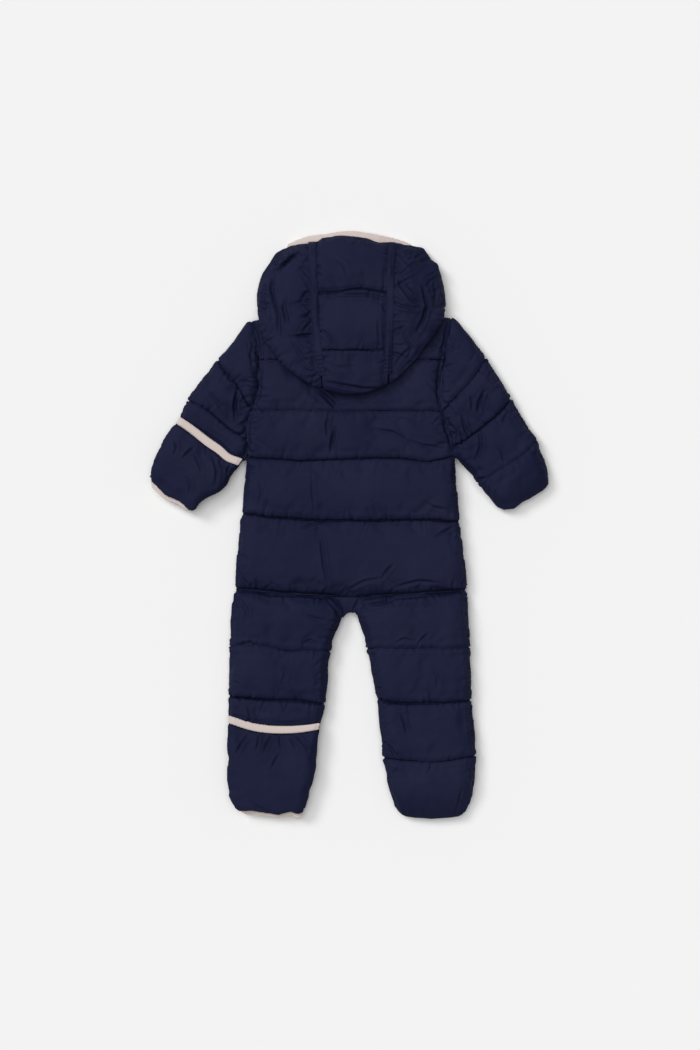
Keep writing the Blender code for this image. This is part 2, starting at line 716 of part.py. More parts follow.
def open_flap_loops(found, start, beyond, end_bow, waves):
    """An open mitt or bootie lying on the limb, gathered at its bound mouth.
    It starts at a distance down the limb and ends just beyond the hem."""
    hem = found[-1]._replace(bow=end_bow)
    chosen = [cut_station(found, start), cut_station(found, start + 4.0)]
    chosen += [station for station in found[:-1] if station.run > start + 7.0]
    chosen += [narrowed(moved(hem, beyond * 0.5), 1.0), narrowed(moved(hem, beyond), 2.5)]
    length = hem.run - start + beyond
    loops = []
    for i, station in enumerate(chosen):
        along = length if i == len(chosen) - 1 else min(station.run - start, length - 2.0)
        wide = width(station)
        wall = FLAP_WALL * (0.62 + 0.38 * math.sin(math.pi * min(along / length, 0.9)))
        wall = FLAP_EDGE + (wall - FLAP_EDGE) * round_over(length - along, 12.0)
        gathered = max(1 - 2.2 * along / length, 0.0)
        inset = FLAP_INSET / wide
        shares = [inset + (1 - 2 * inset) * w for w in spread(STRIP_COLUMNS, 1.2)]
        top = []
        for w in shares:
            near = round_over(min(w, 1 - w) * wide, 12.0)
            gather = FLAP_GATHER * math.sin(waves * math.pi * w) * gathered
            x, y = across(station, w)
            lift = FLAP_EDGE + (wall + gather - FLAP_EDGE) * near - fold_dip(x, y) * 0.6
            top.append((x, y, FLAP_LOW + max(lift, FLAP_EDGE)))
        under = [(*across(station, w), FLAP_LOW) for w in reversed(shares[::2])]
        loops.append(top + under)
    return loops


def strip_loop(station, low, high):
    """A plain strip across a station, with its two ends rounded."""
    wide = width(station)
    middle = (low + high) / 2
    half = (high - low) / 2
    inset = FLAP_INSET / wide
    shares = [inset + (1 - 2 * inset) * w for w in spread(STRIP_COLUMNS, 1.2)]

    def rounded(w):
        return half * (0.25 + 0.75 * round_over((min(w, 1 - w) - inset) * wide, max(half, 3.0)))

    top = [(*across(station, w), middle + rounded(w)) for w in shares]
    return top + [(*across(station, w), middle - rounded(w)) for w in reversed(shares[::2])]


def turned_flap_loops(found, sole_length, toe_bow):
    """A mitt or bootie turned over the end: its toe round the hem, its sole below."""
    hem = found[-1]
    loops = []
    for along, trim, low, high in (
        (TOE_DEEP, 13.0, 6.5, 12.5),
        (TOE_DEEP - 1.2, 7.5, 3.6, 17.0),
        (TOE_DEEP - 3.5, 3.5, 1.2, 19.6),
        (TOE_DEEP - 6.0, 1.0, 0.0, TOE_TOP),
        (SEAM_GAP, 0.0, 0.0, TOE_TOP - 0.4),
    ):
        rounded = hem._replace(bow=toe_bow * (along - SEAM_GAP) / (TOE_DEEP - SEAM_GAP))
        loops.append(strip_loop(narrowed(moved(rounded, along), trim), low, high))
    loops.append(strip_loop(narrowed(moved(hem, SEAM_GAP * 0.9), 1.0), 0.0, SOLE_WALL))
    for along in (0.33 * sole_length, 0.66 * sole_length, sole_length):
        loops.append(strip_loop(narrowed(cut_station(found, hem.run - along), 1.0),
                                0.0, SOLE_WALL))
    return loops


def mouth_binding_loops(found, start, low, high):
    """A pale binding round the mouth of a mitt or bootie, from a distance down the limb."""
    loops = []
    for along, squeeze in ((0.0, 0.9), (0.2, 0.0), (0.8, 0.0), (1.0, 0.9)):
        station = cut_station(found, start + BINDING_WIDE * along)
        loops.append(strip_loop(station, low + squeeze, high - squeeze))
    return loops


def hem_binding_loops(station, length):
    """A bound cuff or ankle hem: the folded end of the limb, in pale knit."""
    loops = []
    for along in (SEAM_GAP, length * 0.5, length):
        end = narrowed(moved(station, along), (along - SEAM_GAP) * 0.9)
        loops.append(limb_loop(end._replace(rise=0.0), HEM_WALL, BACK_INNER - HEM_WALL - SLIT,
                               HEM_WALL - 1.5))
    return loops


# ---- gusset

def gusset_loops():
    """A small diamond folded at the crotch: its back, its turn and its front."""
    loops = []
    for row in GUSSET_ROWS:
        centre = (row.low + row.high) / 2
        half = (row.high - row.low) / 2
        shares = ((-1, 0.35), (-0.8, 0.9), (0, 1.0), (0.8, 0.9), (1, 0.35))
        top = [(GUSSET_X + row.half * w, row.y, centre + half * f) for w, f in shares]
        under = [(GUSSET_X + row.half * w, row.y, centre - half * f)
                 for w, f in reversed(shares)]
        loops.append(top + under)
    return loops


# ---- hood

def hood_top(x, y):
    """The hood's upper surface before quilting and seams."""
    edge = read_table(HOOD_LEFT if x < 0 else HOOD_RIGHT, y, "edge")
    share = min(abs(x / edge), 1.0)
    dome = (1 - share ** 2.6) ** (1 / 2.2)
    middle = read_level(y, "middle")
    crown = read_level(y, "crown")
    return middle + (crown - middle) * dome


def hood_seam(x):
    """How deep the two long seams pull the hood in, at a distance from one."""
    return HOOD_SEAM_DIP * math.exp(-(x / HOOD_SEAM_DIP_WIDTH) ** 2)


def fold_shift(x, y):
    """How far the drooping fold's curve pushes a place near it up the hood."""
    return HOOD_FOLD_CURVE * x * x * smooth((248.0 - y) / 40.0)


def wrap_edge(y):
    """Half width of the face opening on the surface side, wider at the brim."""
    return HOOD_WRAP_X + HOOD_WRAP_WIDENS * smooth((y - 300.0) / 80.0)


def brim_shift(x, y):
    """The brim's curve: how far a place near it lies back from its row."""
    return HOOD_BRIM_FALL * (x / HOOD_BRIM_HALF) ** 2 * smooth((y - 326.0) / 56.0)


def hood_side_loops(outline, seam_table, last_y):
    """A side of the hood: over the head, round the side and under it."""
    side = 1 if outline[0].edge > 0 else -1
    loops = []
    for y in [row for row in HOOD_STATIONS if row > last_y] + [last_y]:
        edge = read_table(outline, y, "edge")
        seam = read_table(seam_table, y, "x") + side * CURVED_SEAM_GAP / 2
        middle = read_level(y, "middle")
        low = read_level(y, "low")
        wall = read_level(y, "wall")
        on_surface = smooth((y - 287.5) / 4.0)
        wrap = seam + (side * wrap_edge(y) - seam) * on_surface
        low_wall = HOOD_LOW_WALL + (HOOD_FLOOR_WALL - HOOD_LOW_WALL) * on_surface
        turn = min(18.0, abs(edge - wrap) * 0.8)
        inside = edge - side * min(11.0, abs(edge - seam) * 0.5, abs(edge - wrap) * 0.55)
        loop = []
        for w in (0.0, 0.1, 0.24, 0.4, 0.56, 0.7, 0.82, 0.91, 0.97, 1.0):
            x = seam + (edge - seam) * w
            z = hood_top(x, y) - hood_seam(x - seam) - fold_dip(x, y) * min(1.0, (1 - w) * 4)
            loop.append((x, y, max(z, middle)))
        for w in (0.03, 0.12, 0.3, 0.6, 1.0):
            x = edge + (wrap - edge) * w
            loop.append((x, y, middle - (middle - low) * round_over(abs(edge - x), turn)))
        for w in (1.0, 0.5, 0.0):
            x = inside + (wrap - inside) * w
            loop.append((x, y, low + low_wall))
        for w in (0.0, 0.35, 0.7, 1.0):
            x = inside + (seam - inside) * w
            z = hood_top(x, y) - wall
            loop.append((x, y, max(z, low + low_wall + 0.9)))
        loops.append([(px, py - brim_shift(px, py), pz) for px, py, pz in loop])
    return loops


def hood_line_rise(y):
    """Rise of the centre strip's puffs down its length."""
    for high, low in zip(HOOD_LINES, HOOD_LINES[1:]):
        if y >= low:
            return puff((high - y) / (high - low))
    return 1.0


def hood_centre_loops():
    """The centre strip: from the brim over the head, round the fold to the neck."""
    columns = spread(12, 1.25)
    inner_columns = (1.0, 0.75, 0.5, 0.25, 0.0)
    half_gap = CURVED_SEAM_GAP / 2
    loops = []
    upper = [386, 380, 371, 360, 347, 334, 322, 313, 308, 303, 294, 282, 269, 256, 244,
             236, 232, 228, 220, 210, 202]

    def seams(y):
        return (read_table(HOOD_SEAM_LEFT, y, "x") + half_gap,
                read_table(HOOD_SEAM_RIGHT, y, "x") - half_gap)

    def place(w, row_y, lift=0.0):
        """A place of the strip, with its row bent along the drooping fold."""
        y = row_y
        x = 0.0
        for _ in range(3):
            left, right = seams(y)
            x = left + (right - left) * w
            y = row_y + fold_shift(x, row_y) + lift
        return x, y, min(x - left, right - x)

    for row_y in upper:
        groove = HOOD_GROOVE * (1 - hood_line_rise(row_y)) if row_y < 380 else 0.0
        outer = []
        for w in columns:
            x, y, near = place(w, row_y)
            z = hood_top(x, y) - groove * (0.35 + 0.65 * round_over(near, 10.0))
            z -= hood_seam(near) + fold_dip(x, y)
            outer.append((x, y - brim_shift(x, y), z))
        inner = []
        for w in inner_columns:
            x, y, near = place(w, row_y)
            inner.append((x, y - brim_shift(x, y), hood_top(x, y) - read_level(y, "wall")))
        loops.append(outer + inner)
    low = read_level(200.0, "low")
    for turn in (20, 42, 64, 90, 118, 145, 166):
        angle = math.radians(turn)
        outer = []
        for w in columns:
            x, y, near = place(w, HOOD_FOLD_Y, HOOD_TURN * (1 - math.sin(angle)))
            high = hood_top(x, hood_fold(x) + HOOD_TURN + 5.0) - hood_seam(near)
            middle = (high + low) / 2
            outer.append((x, y, middle + (high - middle) * math.cos(angle)))
        inner = []
        for w in inner_columns:
            x, y, near = place(w, HOOD_FOLD_Y, HOOD_TURN + 1.5 - 6.0 * math.sin(angle))
            inner.append((x, y, 31.2 + 1.2 * math.cos(angle)))
        loops.append(outer + inner)
    for row_y in (202, 225, 250, 270, HOOD_NECK_Y):
        outer = []
        for w in columns:
            x, y, near = place(w, row_y)
            outer.append((x, y, read_level(y, "low")))
        inner = []
        for w in inner_columns:
            x, y, near = place(w, row_y)
            inner.append((x, y, read_level(y, "low") + HOOD_LOW_WALL))
        loops.append(outer + inner)
    return loops


def hood_binding_path():
    """The face opening's edge: up one side on the surface, and over to the middle."""
    beside = BINDING_HALF + 0.6

    def lip(y):
        edge = wrap_edge(y)
        return (beside * 1.04 - edge, y - brim_shift(edge, y), BINDING_LOW)

    def brim(x):
        rise = BINDING_RISE * smooth((76 + x) / 44)
        return (x, HOOD_BRIM_Y - brim_shift(x, HOOD_BRIM_Y) + beside + 0.3, BINDING_LOW + rise)

    half = [lip(y) for y in (292.5, 296, 308, 324, 338, 350, 362, 372)]
    half += [brim(x) for x in (-75, -66, -54, -40, -24, -8)]
    return half + [(-x, y, z) for x, y, z in reversed(half)]


def sweep_loops(path, half_wide, half_thick):
    """An oval band along a path, flat to the surface."""
    loops = []
    for i, point in enumerate(path):
        before = path[max(i - 1, 0)]
        after = path[min(i + 1, len(path) - 1)]
        run_x = after[0] - before[0]
        run_y = after[1] - before[1]
        long = math.hypot(run_x, run_y)
        loop = []
        for k in range(8):
            angle = 2 * math.pi * k / 8
            off = half_wide * math.cos(angle)
            loop.append((point[0] - run_y / long * off, point[1] + run_x / long * off,
                         point[2] + half_thick * math.sin(angle)))
        loops.append(loop)
    return loops


# ---- zip

def box(name, low, high, colour=None, roughness=0.4, metallic=0.0):
    """A plain block between two corners. With no colour it is a helper."""
    shape = bmesh.new()
    bmesh.ops.create_cube(shape, size=1.0)
    for vert in shape.verts:
        vert.co = [(a + (b - a) * (c + 0.5)) * MM for a, b, c in zip(low, high, vert.co)]
    mesh = bpy.data.meshes.new(name)
    shape.to_mesh(mesh)
    shape.free()
    if colour:
        return add_object(name, mesh, colour, roughness, metallic)
    helper = bpy.data.objects.new(name, mesh)
    cutters.objects.link(helper)
    helper.hide_render = True
    helper.display_type = "WIRE"
    return helper


def combine(piece, helper, operation):
    """Joins a helper to a piece, or cuts it out."""
    change = piece.modifiers.new(helper.name, "BOOLEAN")
    change.operation = operation
    change.object = helper
    change.solver = "EXACT"


def build_zip():
    """Two tapes, the closed chain, the slider at the neck, and its pull tab."""
    for side, name in ((-1, "zip_tape_left"), (1, "zip_tape_right")):
        low_x, high_x = sorted((side * TAPE_INNER, side * TAPE_OUTER))
        box(name, (low_x, ZIP_END, TAPE_LOW), (high_x, ZIP_TOP + 6, TAPE_HIGH), TAPE, 0.8)
    box("zip_chain", (-CHAIN_HALF, ZIP_END, CHAIN_LOW), (CHAIN_HALF, ZIP_TOP, CHAIN_HIGH),
        PLASTIC, 0.45)
    plate_high = CHAIN_LOW - SEAM_GAP
    plate_low = plate_high - SLIDER_PLATE
    start = ZIP_TOP - SLIDER_LONG + SLIDER_POST + 2.0
    end = ZIP_TOP + SLIDER_POST + 2.0
    slider = box("zip_slider", (-SLIDER_HALF, start, plate_low),
                 (SLIDER_HALF, end, plate_high), METAL, 0.35, 0.9)
    post_start = ZIP_TOP + 0.6
    blocks = {
        "slider_post": ((-1.6, post_start, plate_low + 0.5),
                        (1.6, end - 0.4, CHAIN_HIGH + SEAM_GAP + 0.5)),
        "slider_cover": ((-TAPE_INNER + 0.3, start + 1, CHAIN_HIGH + SEAM_GAP),
                         (TAPE_INNER - 0.3, end - 0.2, CHAIN_HIGH + SEAM_GAP + SLIDER_PLATE)),
        "bail_front": ((-BAIL_HALF, PULL_AXIS_Y + 2.4, BAIL_LOW),
                       (BAIL_HALF, PULL_AXIS_Y + 2.4 + BAIL_BAR, plate_low + 0.5)),
        "bail_back": ((-BAIL_HALF, PULL_AXIS_Y - 2.4 - BAIL_BAR, BAIL_LOW),
                      (BAIL_HALF, PULL_AXIS_Y - 2.4, plate_low + 0.5)),
        "bail_bar": ((-BAIL_HALF, PULL_AXIS_Y - 2.4 - BAIL_BAR, BAIL_LOW),
                     (BAIL_HALF, PULL_AXIS_Y + 2.4 + BAIL_BAR, BAIL_LOW + BAIL_BAR)),
    }
    for name, (low, high) in blocks.items():
        combine(slider, box(name, low, high), "UNION")
    half = PULL_THICK / 2
    pull = box("zip_pull", (-PULL_HALF, -PULL_LONG, -half), (PULL_HALF, half, half),
               METAL, 0.3, 0.9)
    slot = box("pull_slot", (-PULL_SLOT_HALF, -PULL_SLOT, -PULL_THICK),
               (PULL_SLOT_HALF, -half, PULL_THICK))
    for piece in (pull, slot):
        piece.location = (0.0, PULL_AXIS_Y * MM, PULL_AXIS_Z * MM)
    combine(pull, slot, "DIFFERENCE")


def build_suit():
    """Every piece, in the order in which the suit is put together."""
    loft("back", back_loops(), NAVY)
    loft("front_left", front_loops(FRONT_LEFT_ROWS, ARMHOLE_LEFT), NAVY)
    loft("front_right", front_loops(FRONT_RIGHT_ROWS, ARMHOLE_RIGHT), NAVY)

    mitt_mouth = row_run(SLEEVE_LEFT_ROWS, "mouth") - BINDING_WIDE / 2
    boot_mouth = row_run(LEG_LEFT_ROWS, "mouth") - BINDING_WIDE / 2
    mitt_turned = MITT_SOLE + CURVED_SEAM_GAP + BINDING_WIDE
    boot_turned = BOOT_SOLE + CURVED_SEAM_GAP + BINDING_WIDE
    bound = BINDING_WIDE + CURVED_SEAM_GAP
    sleeve_left = limb_stations(SLEEVE_LEFT_ROWS, ARMHOLE_LEFT,
                                (mitt_mouth - 6, mitt_mouth - 3, mitt_mouth + bound))
    leg_left = limb_stations(LEG_LEFT_ROWS, None,
                             (boot_mouth - 6, boot_mouth - 3, boot_mouth + bound))
    sleeve_right = limb_stations(SLEEVE_RIGHT_ROWS, ARMHOLE_RIGHT,
                                 (-mitt_turned - 11, -mitt_turned - 3))
    leg_right = limb_stations(LEG_RIGHT_ROWS, None, (-boot_turned - 11, -boot_turned - 3))
    armhole_end = row_run(SLEEVE_RIGHT_ROWS, "line_b")
    loft("sleeve_left", limb_loops(sleeve_left, tucked_from=mitt_mouth - 3,
                                   seam_to=armhole_end), NAVY)
    loft("sleeve_right", limb_loops(sleeve_right, lifted_from=mitt_turned + 3,
                                    seam_to=armhole_end), NAVY)
    loft("leg_left", limb_loops(leg_left, tucked_from=boot_mouth - 3,
                                first_shift=below_seat), NAVY)
    loft("leg_right", limb_loops(leg_right, lifted_from=boot_turned + 3,
                                 first_shift=below_seat), NAVY)
    loft("gusset", gusset_loops(), NAVY)

    loft("hood_centre", hood_centre_loops(), NAVY)
    loft("hood_side_left", hood_side_loops(HOOD_LEFT, HOOD_SEAM_LEFT, 184.0), NAVY)
    loft("hood_side_right", hood_side_loops(HOOD_RIGHT, HOOD_SEAM_RIGHT, 189.0), NAVY)
    loft("hood_binding", sweep_loops(hood_binding_path(), BINDING_HALF, BINDING_DEEP), PINK)

    loft("mitt_flap_left", open_flap_loops(sleeve_left, mitt_mouth + bound, PAST_HEM, 0.0,
                                           MITT_GATHERS), NAVY)
    loft("boot_flap_left", open_flap_loops(leg_left, boot_mouth + bound, PAST_HEM,
                                           OPEN_TOE_BOW, BOOT_GATHERS), NAVY)
    loft("mitt_flap_right", turned_flap_loops(sleeve_right, MITT_SOLE, MITT_TOE_BOW), NAVY)
    loft("boot_flap_right", turned_flap_loops(leg_right, BOOT_SOLE, BOOT_TOE_BOW), NAVY)

    for name, found, start, low, thick in (
        ("mitt_binding_left", sleeve_left, mitt_mouth, FLAP_LOW, BINDING_THICK),
        ("boot_binding_left", leg_left, boot_mouth, FLAP_LOW, BINDING_THICK),
        ("mitt_binding_right", sleeve_right, sleeve_right[-1].run - mitt_turned, 0, SOLE_WALL),
        ("boot_binding_right", leg_right, leg_right[-1].run - boot_turned, 0, SOLE_WALL),
    ):
        loft(name, mouth_binding_loops(found, start, low, low + thick), PINK)
    loft("cuff_binding_left", hem_binding_loops(sleeve_left[-1], CUFF_LONG), PINK)
    loft("ankle_binding_left", hem_binding_loops(leg_left[-1], ANKLE_LONG), PINK)
    build_zip()


def centre_footprint():
    """Slides the whole suit so that its footprint's centre is at the origin."""
    corners = [piece.location + Vector(spot) for piece in parts.objects
               for spot in piece.bound_box]
    slide = Vector([-(min(spot[axis] for spot in corners)
                      + max(spot[axis] for spot in corners)) / 2 for axis in (0, 1)] + [0.0])
    for piece in list(parts.objects) + list(cutters.objects):
        piece.location += slide


for old in list(bpy.data.objects):
    bpy.data.objects.remove(old, do_unlink=True)
parts = bpy.data.collections.new(SUIT)
cutters = bpy.data.collections.new("cutters")
bpy.context.scene.collection.children.link(parts)
bpy.context.scene.collection.children.link(cutters)
build_suit()
centre_footprint()
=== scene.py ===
"""Baby snowsuit laid face down: quilted nylon, wadding, ribbed bindings and zip around its fixed frame."""
import math
from collections import namedtuple

import bmesh
import bpy
import numpy as np
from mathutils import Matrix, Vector
from mathutils.bvhtree import BVHTree
from mathutils.kdtree import KDTree


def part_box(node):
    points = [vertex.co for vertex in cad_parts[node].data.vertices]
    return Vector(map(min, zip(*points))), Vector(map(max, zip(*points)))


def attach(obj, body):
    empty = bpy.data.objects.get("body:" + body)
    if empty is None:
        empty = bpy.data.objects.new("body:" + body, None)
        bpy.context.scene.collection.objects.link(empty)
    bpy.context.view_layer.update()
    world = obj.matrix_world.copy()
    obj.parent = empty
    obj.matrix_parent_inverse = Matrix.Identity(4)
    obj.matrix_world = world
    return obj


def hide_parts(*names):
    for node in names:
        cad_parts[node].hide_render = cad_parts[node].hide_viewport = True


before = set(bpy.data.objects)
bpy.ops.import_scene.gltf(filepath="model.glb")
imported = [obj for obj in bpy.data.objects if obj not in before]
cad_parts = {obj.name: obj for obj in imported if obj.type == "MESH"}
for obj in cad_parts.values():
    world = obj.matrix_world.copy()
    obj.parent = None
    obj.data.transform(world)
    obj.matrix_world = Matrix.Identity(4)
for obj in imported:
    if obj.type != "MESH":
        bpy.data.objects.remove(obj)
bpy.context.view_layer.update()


# ---- back panel
# One piece of navy nylon from the neck to the seat, over polyester wadding and a lining.
# Rows of lockstitch run straight through all three and leave soft puffs between them, with small
# puckers where the thread gathers the cloth.
MM = 0.001
FINE_CLOTH, BAG_CLOTH = 3.2, 5.5  # squares of the cloth, and of the coarser bag that is blown up
HALF_PUFF = 17  # how far to both sides the cloth goes along with its row of stitches
ROW_END = 14  # how near its ends a row comes back to its straight run
HELD_BESIDE = 4  # how much cloth a row holds down beside it
BLOWN_STEPS = 20
EASING = 30  # how wide the slopes are where the cloth gets less room
CUTS = (-1.1, 0.0, 1.1)  # the rows of edges across a row of stitches
SNAP = 0.12  # how near a mesh point counts as on such an edge
PUFF, PUFF_REACH = 3.0, 11  # how high the wadding stands beside a row, and how far from it
ROW_DEEP, ROW_UNEVEN, KNOT_GAP = 3.0, 3.4, 16
PUCKER_REACH, PUCKER_WIDE, PUCKER_DEEP, PUCKER_GAP = (4, 17), (1.3, 2.3), (0.4, 2.3), (4, 14)
CRISP = 2.3  # how sharply the nylon creases
LET_OUT = 8.0  # how far the cloth may stand off its solid
SLIT_BELOW = 19.0  # where two sewn pieces close up; above it a seam stays a slit
UNDERSIDE = 14  # up to here the cloth stays as it lies on the surface
Line = namedtuple("Line", "x1 y1 x2 y2 bow wander pull", defaults=(1.0,))


def link(name, mesh):
    """A new piece with this mesh."""
    piece = bpy.data.objects.new(name, mesh)
    bpy.context.scene.collection.objects.link(piece)
    return piece


def settle(piece):
    """Makes what the modifiers give the piece's own mesh."""
    seen = piece.evaluated_get(bpy.context.evaluated_depsgraph_get())
    mesh = bpy.data.meshes.new_from_object(seen)
    piece.modifiers.clear()
    before = piece.data
    piece.data = mesh
    bpy.data.meshes.remove(before)


def places(piece):
    """The mesh points in mm, one row each."""
    found = np.empty(len(piece.data.vertices) * 3)
    piece.data.vertices.foreach_get("co", found)
    return found.reshape(-1, 3) / MM


def facings(piece):
    """The direction that the cloth faces at each mesh point."""
    found = np.empty(len(piece.data.vertices) * 3)
    piece.data.vertices.foreach_get("normal", found)
    return found.reshape(-1, 3)


def put(piece, points):
    """Moves the mesh points, given in mm."""
    piece.data.vertices.foreach_set("co", (points * MM).ravel())
    piece.data.update()


def net(mesh):
    """The faces of a mesh in mm, to find what is nearest to a place or lies in a direction."""
    return BVHTree.FromPolygons([v.co / MM for v in mesh.vertices], [list(f.vertices) for f in mesh.polygons])


def drape_over(node, name, square):
    """An even skin of small squares over the solid of one piece."""
    skin = bmesh.new()
    skin.from_mesh(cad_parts[node].data)
    bmesh.ops.remove_doubles(skin, verts=skin.verts, dist=0.01 * MM)
    mesh = bpy.data.meshes.new(name)
    skin.to_mesh(mesh)
    skin.free()
    piece = link(name, mesh)
    solid = net(mesh)
    weave = piece.modifiers.new("even", "REMESH")
    weave.mode = "VOXEL"
    weave.voxel_size = square * MM
    settle(piece)
    put(piece, np.array([solid.find_nearest(Vector(p))[0] for p in places(piece)]))
    return piece


def room_before(node, points, directions, reach, bindings=True):
    """How far each point can move out, in mm, before it meets the solid of another piece."""
    corners, faces = [], []
    for other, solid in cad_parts.items():
        if other != node and (bindings or "binding" not in other):
            start = len(corners)
            corners += [v.co / MM for v in solid.data.vertices]
            faces += [[start + i for i in f.vertices] for f in solid.data.polygons]
    tree = BVHTree.FromPolygons(corners, faces)
    room = np.full(len(points), reach)
    for i, (point, way) in enumerate(zip(points, directions)):
        hit = tree.ray_cast(Vector(point), Vector(way), 2 * reach)[3]
        if hit is not None:
            room[i] = max(0.0, hit / 2 - 0.1)
    return room


def course(line):
    """How long a row of stitches is, the way it runs, and the way up from it."""
    run = np.array([line.x2 - line.x1, line.y2 - line.y1])
    length = np.hypot(*run)
    way = run / length
    return length, way, np.array([-way[1], way[0]]) * np.sign(run[0])


def beside(line, points):
    """How far points lie along a row of stitches, how far above its straight run, and how far up
    the solid's channel and the sewn row bend there."""
    length, way, up = course(line)
    offset = points[:, :2] - (line.x1, line.y1)
    share = np.clip(offset @ way / length, 0, 1)
    channel = line.bow * 4 * share * (1 - share)
    ends = np.clip(share * length / ROW_END, 0, 1) * np.clip((1 - share) * length / ROW_END, 0, 1)
    bend = np.interp(share * (len(line.wander) - 1), range(len(line.wander)), line.wander)
    return offset @ way, offset @ up, channel, channel + bend * ends


def wander(points, lines):
    """Draws the puffs along, so that each row of stitches runs as unevenly as a sewn one."""
    for line in lines:
        u, v, channel, sewn = beside(line, points)
        fade = np.exp(-((v - channel) / HALF_PUFF) ** 2)
        points[:, :2] += np.outer((sewn - channel) * fade, course(line)[2])
    return points


def eased(piece, share):
    """The same shares of 0 to 1, with a soft slope around each place where they are low."""
    ends = np.empty(len(piece.data.edges) * 2, dtype=int)
    piece.data.edges.foreach_get("vertices", ends)
    start, end = ends.reshape(-1, 2).T
    count = len(share)
    beside_it = np.maximum(np.bincount(ends, minlength=count), 1)
    soft = share.copy()
    for _ in range(EASING):
        around = np.bincount(start, soft[end], count) + np.bincount(end, soft[start], count)
        soft = np.minimum(share, (soft + around / beside_it) / 2)
    return soft


def plump(piece, node, lines, swell):
    """Blows the cloth out against its rows of stitches, as wadding does, and keeps it off its neighbours.
    A coarser bag is blown up, and the cloth follows it."""
    bag = drape_over(node, node + "_bag", BAG_CLOTH)
    put(bag, wander(places(bag), lines))
    rest, ways = places(bag), facings(bag)
    held = np.clip(1.6 - room_before(node, rest, ways, swell), 0, 1)
    held = np.maximum(held, np.clip(0.2 - 2 * ways[:, 2], 0, 1))
    for line in lines:
        u, v, channel, sewn = beside(line, rest)
        held = np.maximum(held, np.clip(1.7 - np.abs(v - sewn) / HELD_BESIDE, 0, 1))
    group = bag.vertex_groups.new(name="sewn")
    for share in np.linspace(0.1, 1, 10):
        found = np.flatnonzero(np.abs(held - share) <= 0.05)
        group.add([int(i) for i in found], float(share), "REPLACE")
    cloth = bag.modifiers.new("wadding", "CLOTH")
    nylon_set = cloth.settings
    nylon_set.quality = 4
    nylon_set.mass = 0.15
    nylon_set.tension_stiffness = 12
    nylon_set.compression_stiffness = 6
    nylon_set.bending_stiffness = 0.2
    nylon_set.shrink_min = -0.02
    nylon_set.use_pressure = True
    nylon_set.uniform_pressure_force = 4
    nylon_set.effector_weights.gravity = 0
    nylon_set.vertex_group_mass = "sewn"
    cloth.point_cache.frame_start, cloth.point_cache.frame_end = 1, BLOWN_STEPS
    for step in range(1, BLOWN_STEPS + 1):
        bpy.context.scene.frame_set(step)
    settle(bag)
    shift = places(bag) - rest
    bpy.data.objects.remove(bag)
    tree = KDTree(len(rest))
    for i, point in enumerate(rest):
        tree.insert(point, i)
    tree.balance()
    points, ways = places(piece), facings(piece)
    allowed = swell * eased(piece, room_before(node, points, ways, swell) / swell)
    for i, point in enumerate(points):
        near = [(n, 1 / (far + 0.3) ** 2) for _, n, far in tree.find_n(point, 5)]
        pull = sum(shift[n] * w for n, w in near) / sum(w for _, w in near)
        far = float(np.linalg.norm(pull))
        points[i] += pull * min(1, allowed[i] / max(far, 1e-6))
    put(piece, points)


def refine(piece):
    """Halves the squares of the cloth and rounds it."""
    halve = piece.modifiers.new("finer", "SUBSURF")
    halve.levels = halve.render_levels = 1
    settle(piece)


def cut_rows(piece, lines):
    """Rows of edges on and beside each row of stitches, so that the cloth folds sharply there."""
    points = places(piece)
    shape = bmesh.new()
    shape.from_mesh(piece.data)
    shape.verts.ensure_lookup_table()
    bands = []
    for line in lines:
        u, v, channel, sewn = beside(line, points)
        near = np.flatnonzero((np.abs(v - sewn) < 7) & (u > -9) & (u < course(line)[0] + 9))
        bands.append([shape.verts[int(i)] for i in near])
    for line, band in zip(lines, bands):
        for side in CUTS:
            band += cut_row(line, band, side)
    shape.to_mesh(piece.data)
    shape.free()
    piece.data.update()


def cut_row(line, band, side):
    """One row of edges, a little above or below a row of stitches. Returns the new mesh points."""
    u, v, channel, sewn = beside(line, np.array([vertex.co for vertex in band]) / MM)
    across = dict(zip(band, v - sewn - side))
    on_row = {vertex: None for vertex in band if abs(across[vertex]) <= SNAP}
    cuts = []
    for edge in dict.fromkeys(e for vertex in band for e in vertex.link_edges):
        start, end = edge.verts
        if start in across and end in across and across[start] * across[end] < 0:
            if min(abs(across[start]), abs(across[end])) > SNAP:
                cuts.append((edge, start, across[start] / (across[start] - across[end])))
    fresh = [bmesh.utils.edge_split(edge, start, share)[1] for edge, start, share in cuts]
    on_row.update(dict.fromkeys(fresh))
    for face in dict.fromkeys(f for vertex in on_row for f in vertex.link_faces):
        ends = [vertex for vertex in face.verts if vertex in on_row]
        if len(ends) == 2 and not any(e.other_vert(ends[0]) is ends[1] for e in ends[0].link_edges):
            bmesh.utils.face_split(face, ends[0], ends[1])
    return fresh


def uneven(points, seed, size, height):
    """Soft swells of about this size, as wadding settles, up to about this height."""
    draw = np.random.default_rng(seed)
    total = np.zeros(len(points))
    for wave in range(14):
        way = draw.normal(size=3)
        way *= 2 * math.pi / (draw.uniform(0.7, 1.8) * size * np.linalg.norm(way))
        total += np.sin(points @ way + draw.uniform(0, 6.28))
    return total * height / 4


